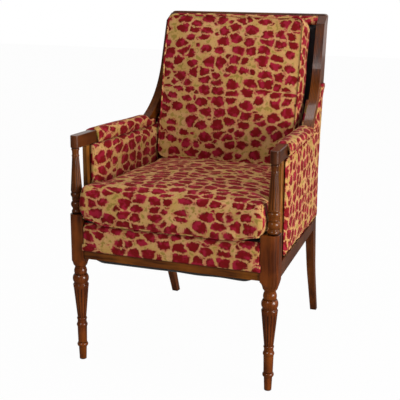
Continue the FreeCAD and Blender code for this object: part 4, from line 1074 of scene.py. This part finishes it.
def seenDirectly(tree):
    path = addNode(tree, "ShaderNodeLightPath")
    return calc(tree, "MAXIMUM", path.outputs["Is Camera Ray"], path.outputs["Is Transmission Ray"]), path


def makeStage(facts):
    mesh = bpy.data.meshes.new("floor")
    reach, z = facts["reach"], -facts["below"]
    mesh.from_pydata([(-reach, -reach, z), (reach, -reach, z), (reach, reach, z), (-reach, reach, z)], [],
                     [(0, 1, 2, 3)])
    floor = addPiece("floor", mesh)
    material = bpy.data.materials.new("paleFloor")
    material.use_nodes = True
    tree = material.node_tree
    tree.nodes.clear()
    matte = addNode(tree, "ShaderNodeBsdfDiffuse")
    matte.inputs["Color"].default_value = facts["floor"]
    glow = addNode(tree, "ShaderNodeEmission")
    seen, path = seenDirectly(tree)
    share = calc(tree, "MULTIPLY", seen, 1 - facts["shadow"])
    dim = addNode(tree, "ShaderNodeEmission")
    dim.inputs["Color"].default_value = facts["mirrored"]
    below = addNode(tree, "ShaderNodeMixShader")
    tree.links.new(path.outputs["Is Glossy Ray"], below.inputs[0])
    tree.links.new(matte.outputs[0], below.inputs[1])
    tree.links.new(dim.outputs[0], below.inputs[2])
    mix = addNode(tree, "ShaderNodeMixShader")
    plug(tree, share, mix.inputs[0])
    tree.links.new(below.outputs[0], mix.inputs[1])
    tree.links.new(glow.outputs[0], mix.inputs[2])
    output = addNode(tree, "ShaderNodeOutputMaterial")
    tree.links.new(mix.outputs[0], output.inputs["Surface"])
    paint(floor, material)
    world = bpy.data.worlds.new("studio")
    scene.world = world
    world.use_nodes = True
    tree = world.node_tree
    tree.nodes.clear()
    seen, path = seenDirectly(tree)
    fill = addNode(tree, "ShaderNodeBackground")
    aim = addNode(tree, "ShaderNodeSeparateXYZ")
    tree.links.new(addNode(tree, "ShaderNodeTexCoord").outputs["Generated"], aim.inputs[0])
    room = blendColour(tree, remap(tree, aim.outputs[1], -0.10, 0.75), facts["dark"], facts["sweep"])
    glossy = path.outputs["Is Glossy Ray"]
    plug(tree, blendColour(tree, glossy, facts["world"], room), fill.inputs["Color"])
    plug(tree, remap(tree, glossy, 0.0, 1.0, facts["worldStrength"], 1.0), fill.inputs["Strength"])
    white = addNode(tree, "ShaderNodeBackground")
    white.inputs["Color"].default_value = (1, 1, 1, 1)
    mix = addNode(tree, "ShaderNodeMixShader")
    plug(tree, seen, mix.inputs[0])
    tree.links.new(fill.outputs[0], mix.inputs[1])
    tree.links.new(white.outputs[0], mix.inputs[2])
    output = addNode(tree, "ShaderNodeOutputWorld")
    tree.links.new(mix.outputs[0], output.inputs["Surface"])


lamps = {
    "keyLamp": {"place": (3.0, -1.0, 0.95), "aim": (0, 0, 0.5), "size": 1.4, "power": 112,
                "colour": (1.0, 0.96, 0.91)},
    "frontLamp": {"place": (-0.6, -3.2, 2.1), "aim": (0, 0, 0.5), "size": 1.0, "power": 31,
                  "colour": (1.0, 0.97, 0.94)},
    "topLamp": {"place": (0.2, 0.2, 3.0), "aim": (0, 0, 0.4), "size": 1.3, "power": 30, "colour": (1, 1, 1)},
}


def makeLamps(facts):
    for name, lamp in facts.items():
        light = bpy.data.lights.new(name, "AREA")
        light.shape = "SQUARE"
        light.size = lamp["size"]
        light.energy = lamp["power"]
        light.color = lamp["colour"]
        holder = bpy.data.objects.new(name, light)
        scene.collection.objects.link(holder)
        aim = Vector(lamp["aim"]) - Vector(lamp["place"])
        turn = aim.to_track_quat("-Z", "Y").to_matrix().to_4x4()
        holder.matrix_world = Matrix.Translation(lamp["place"]) @ turn


makeStage(stageFacts)
makeLamps(lamps)
print("stage lit")
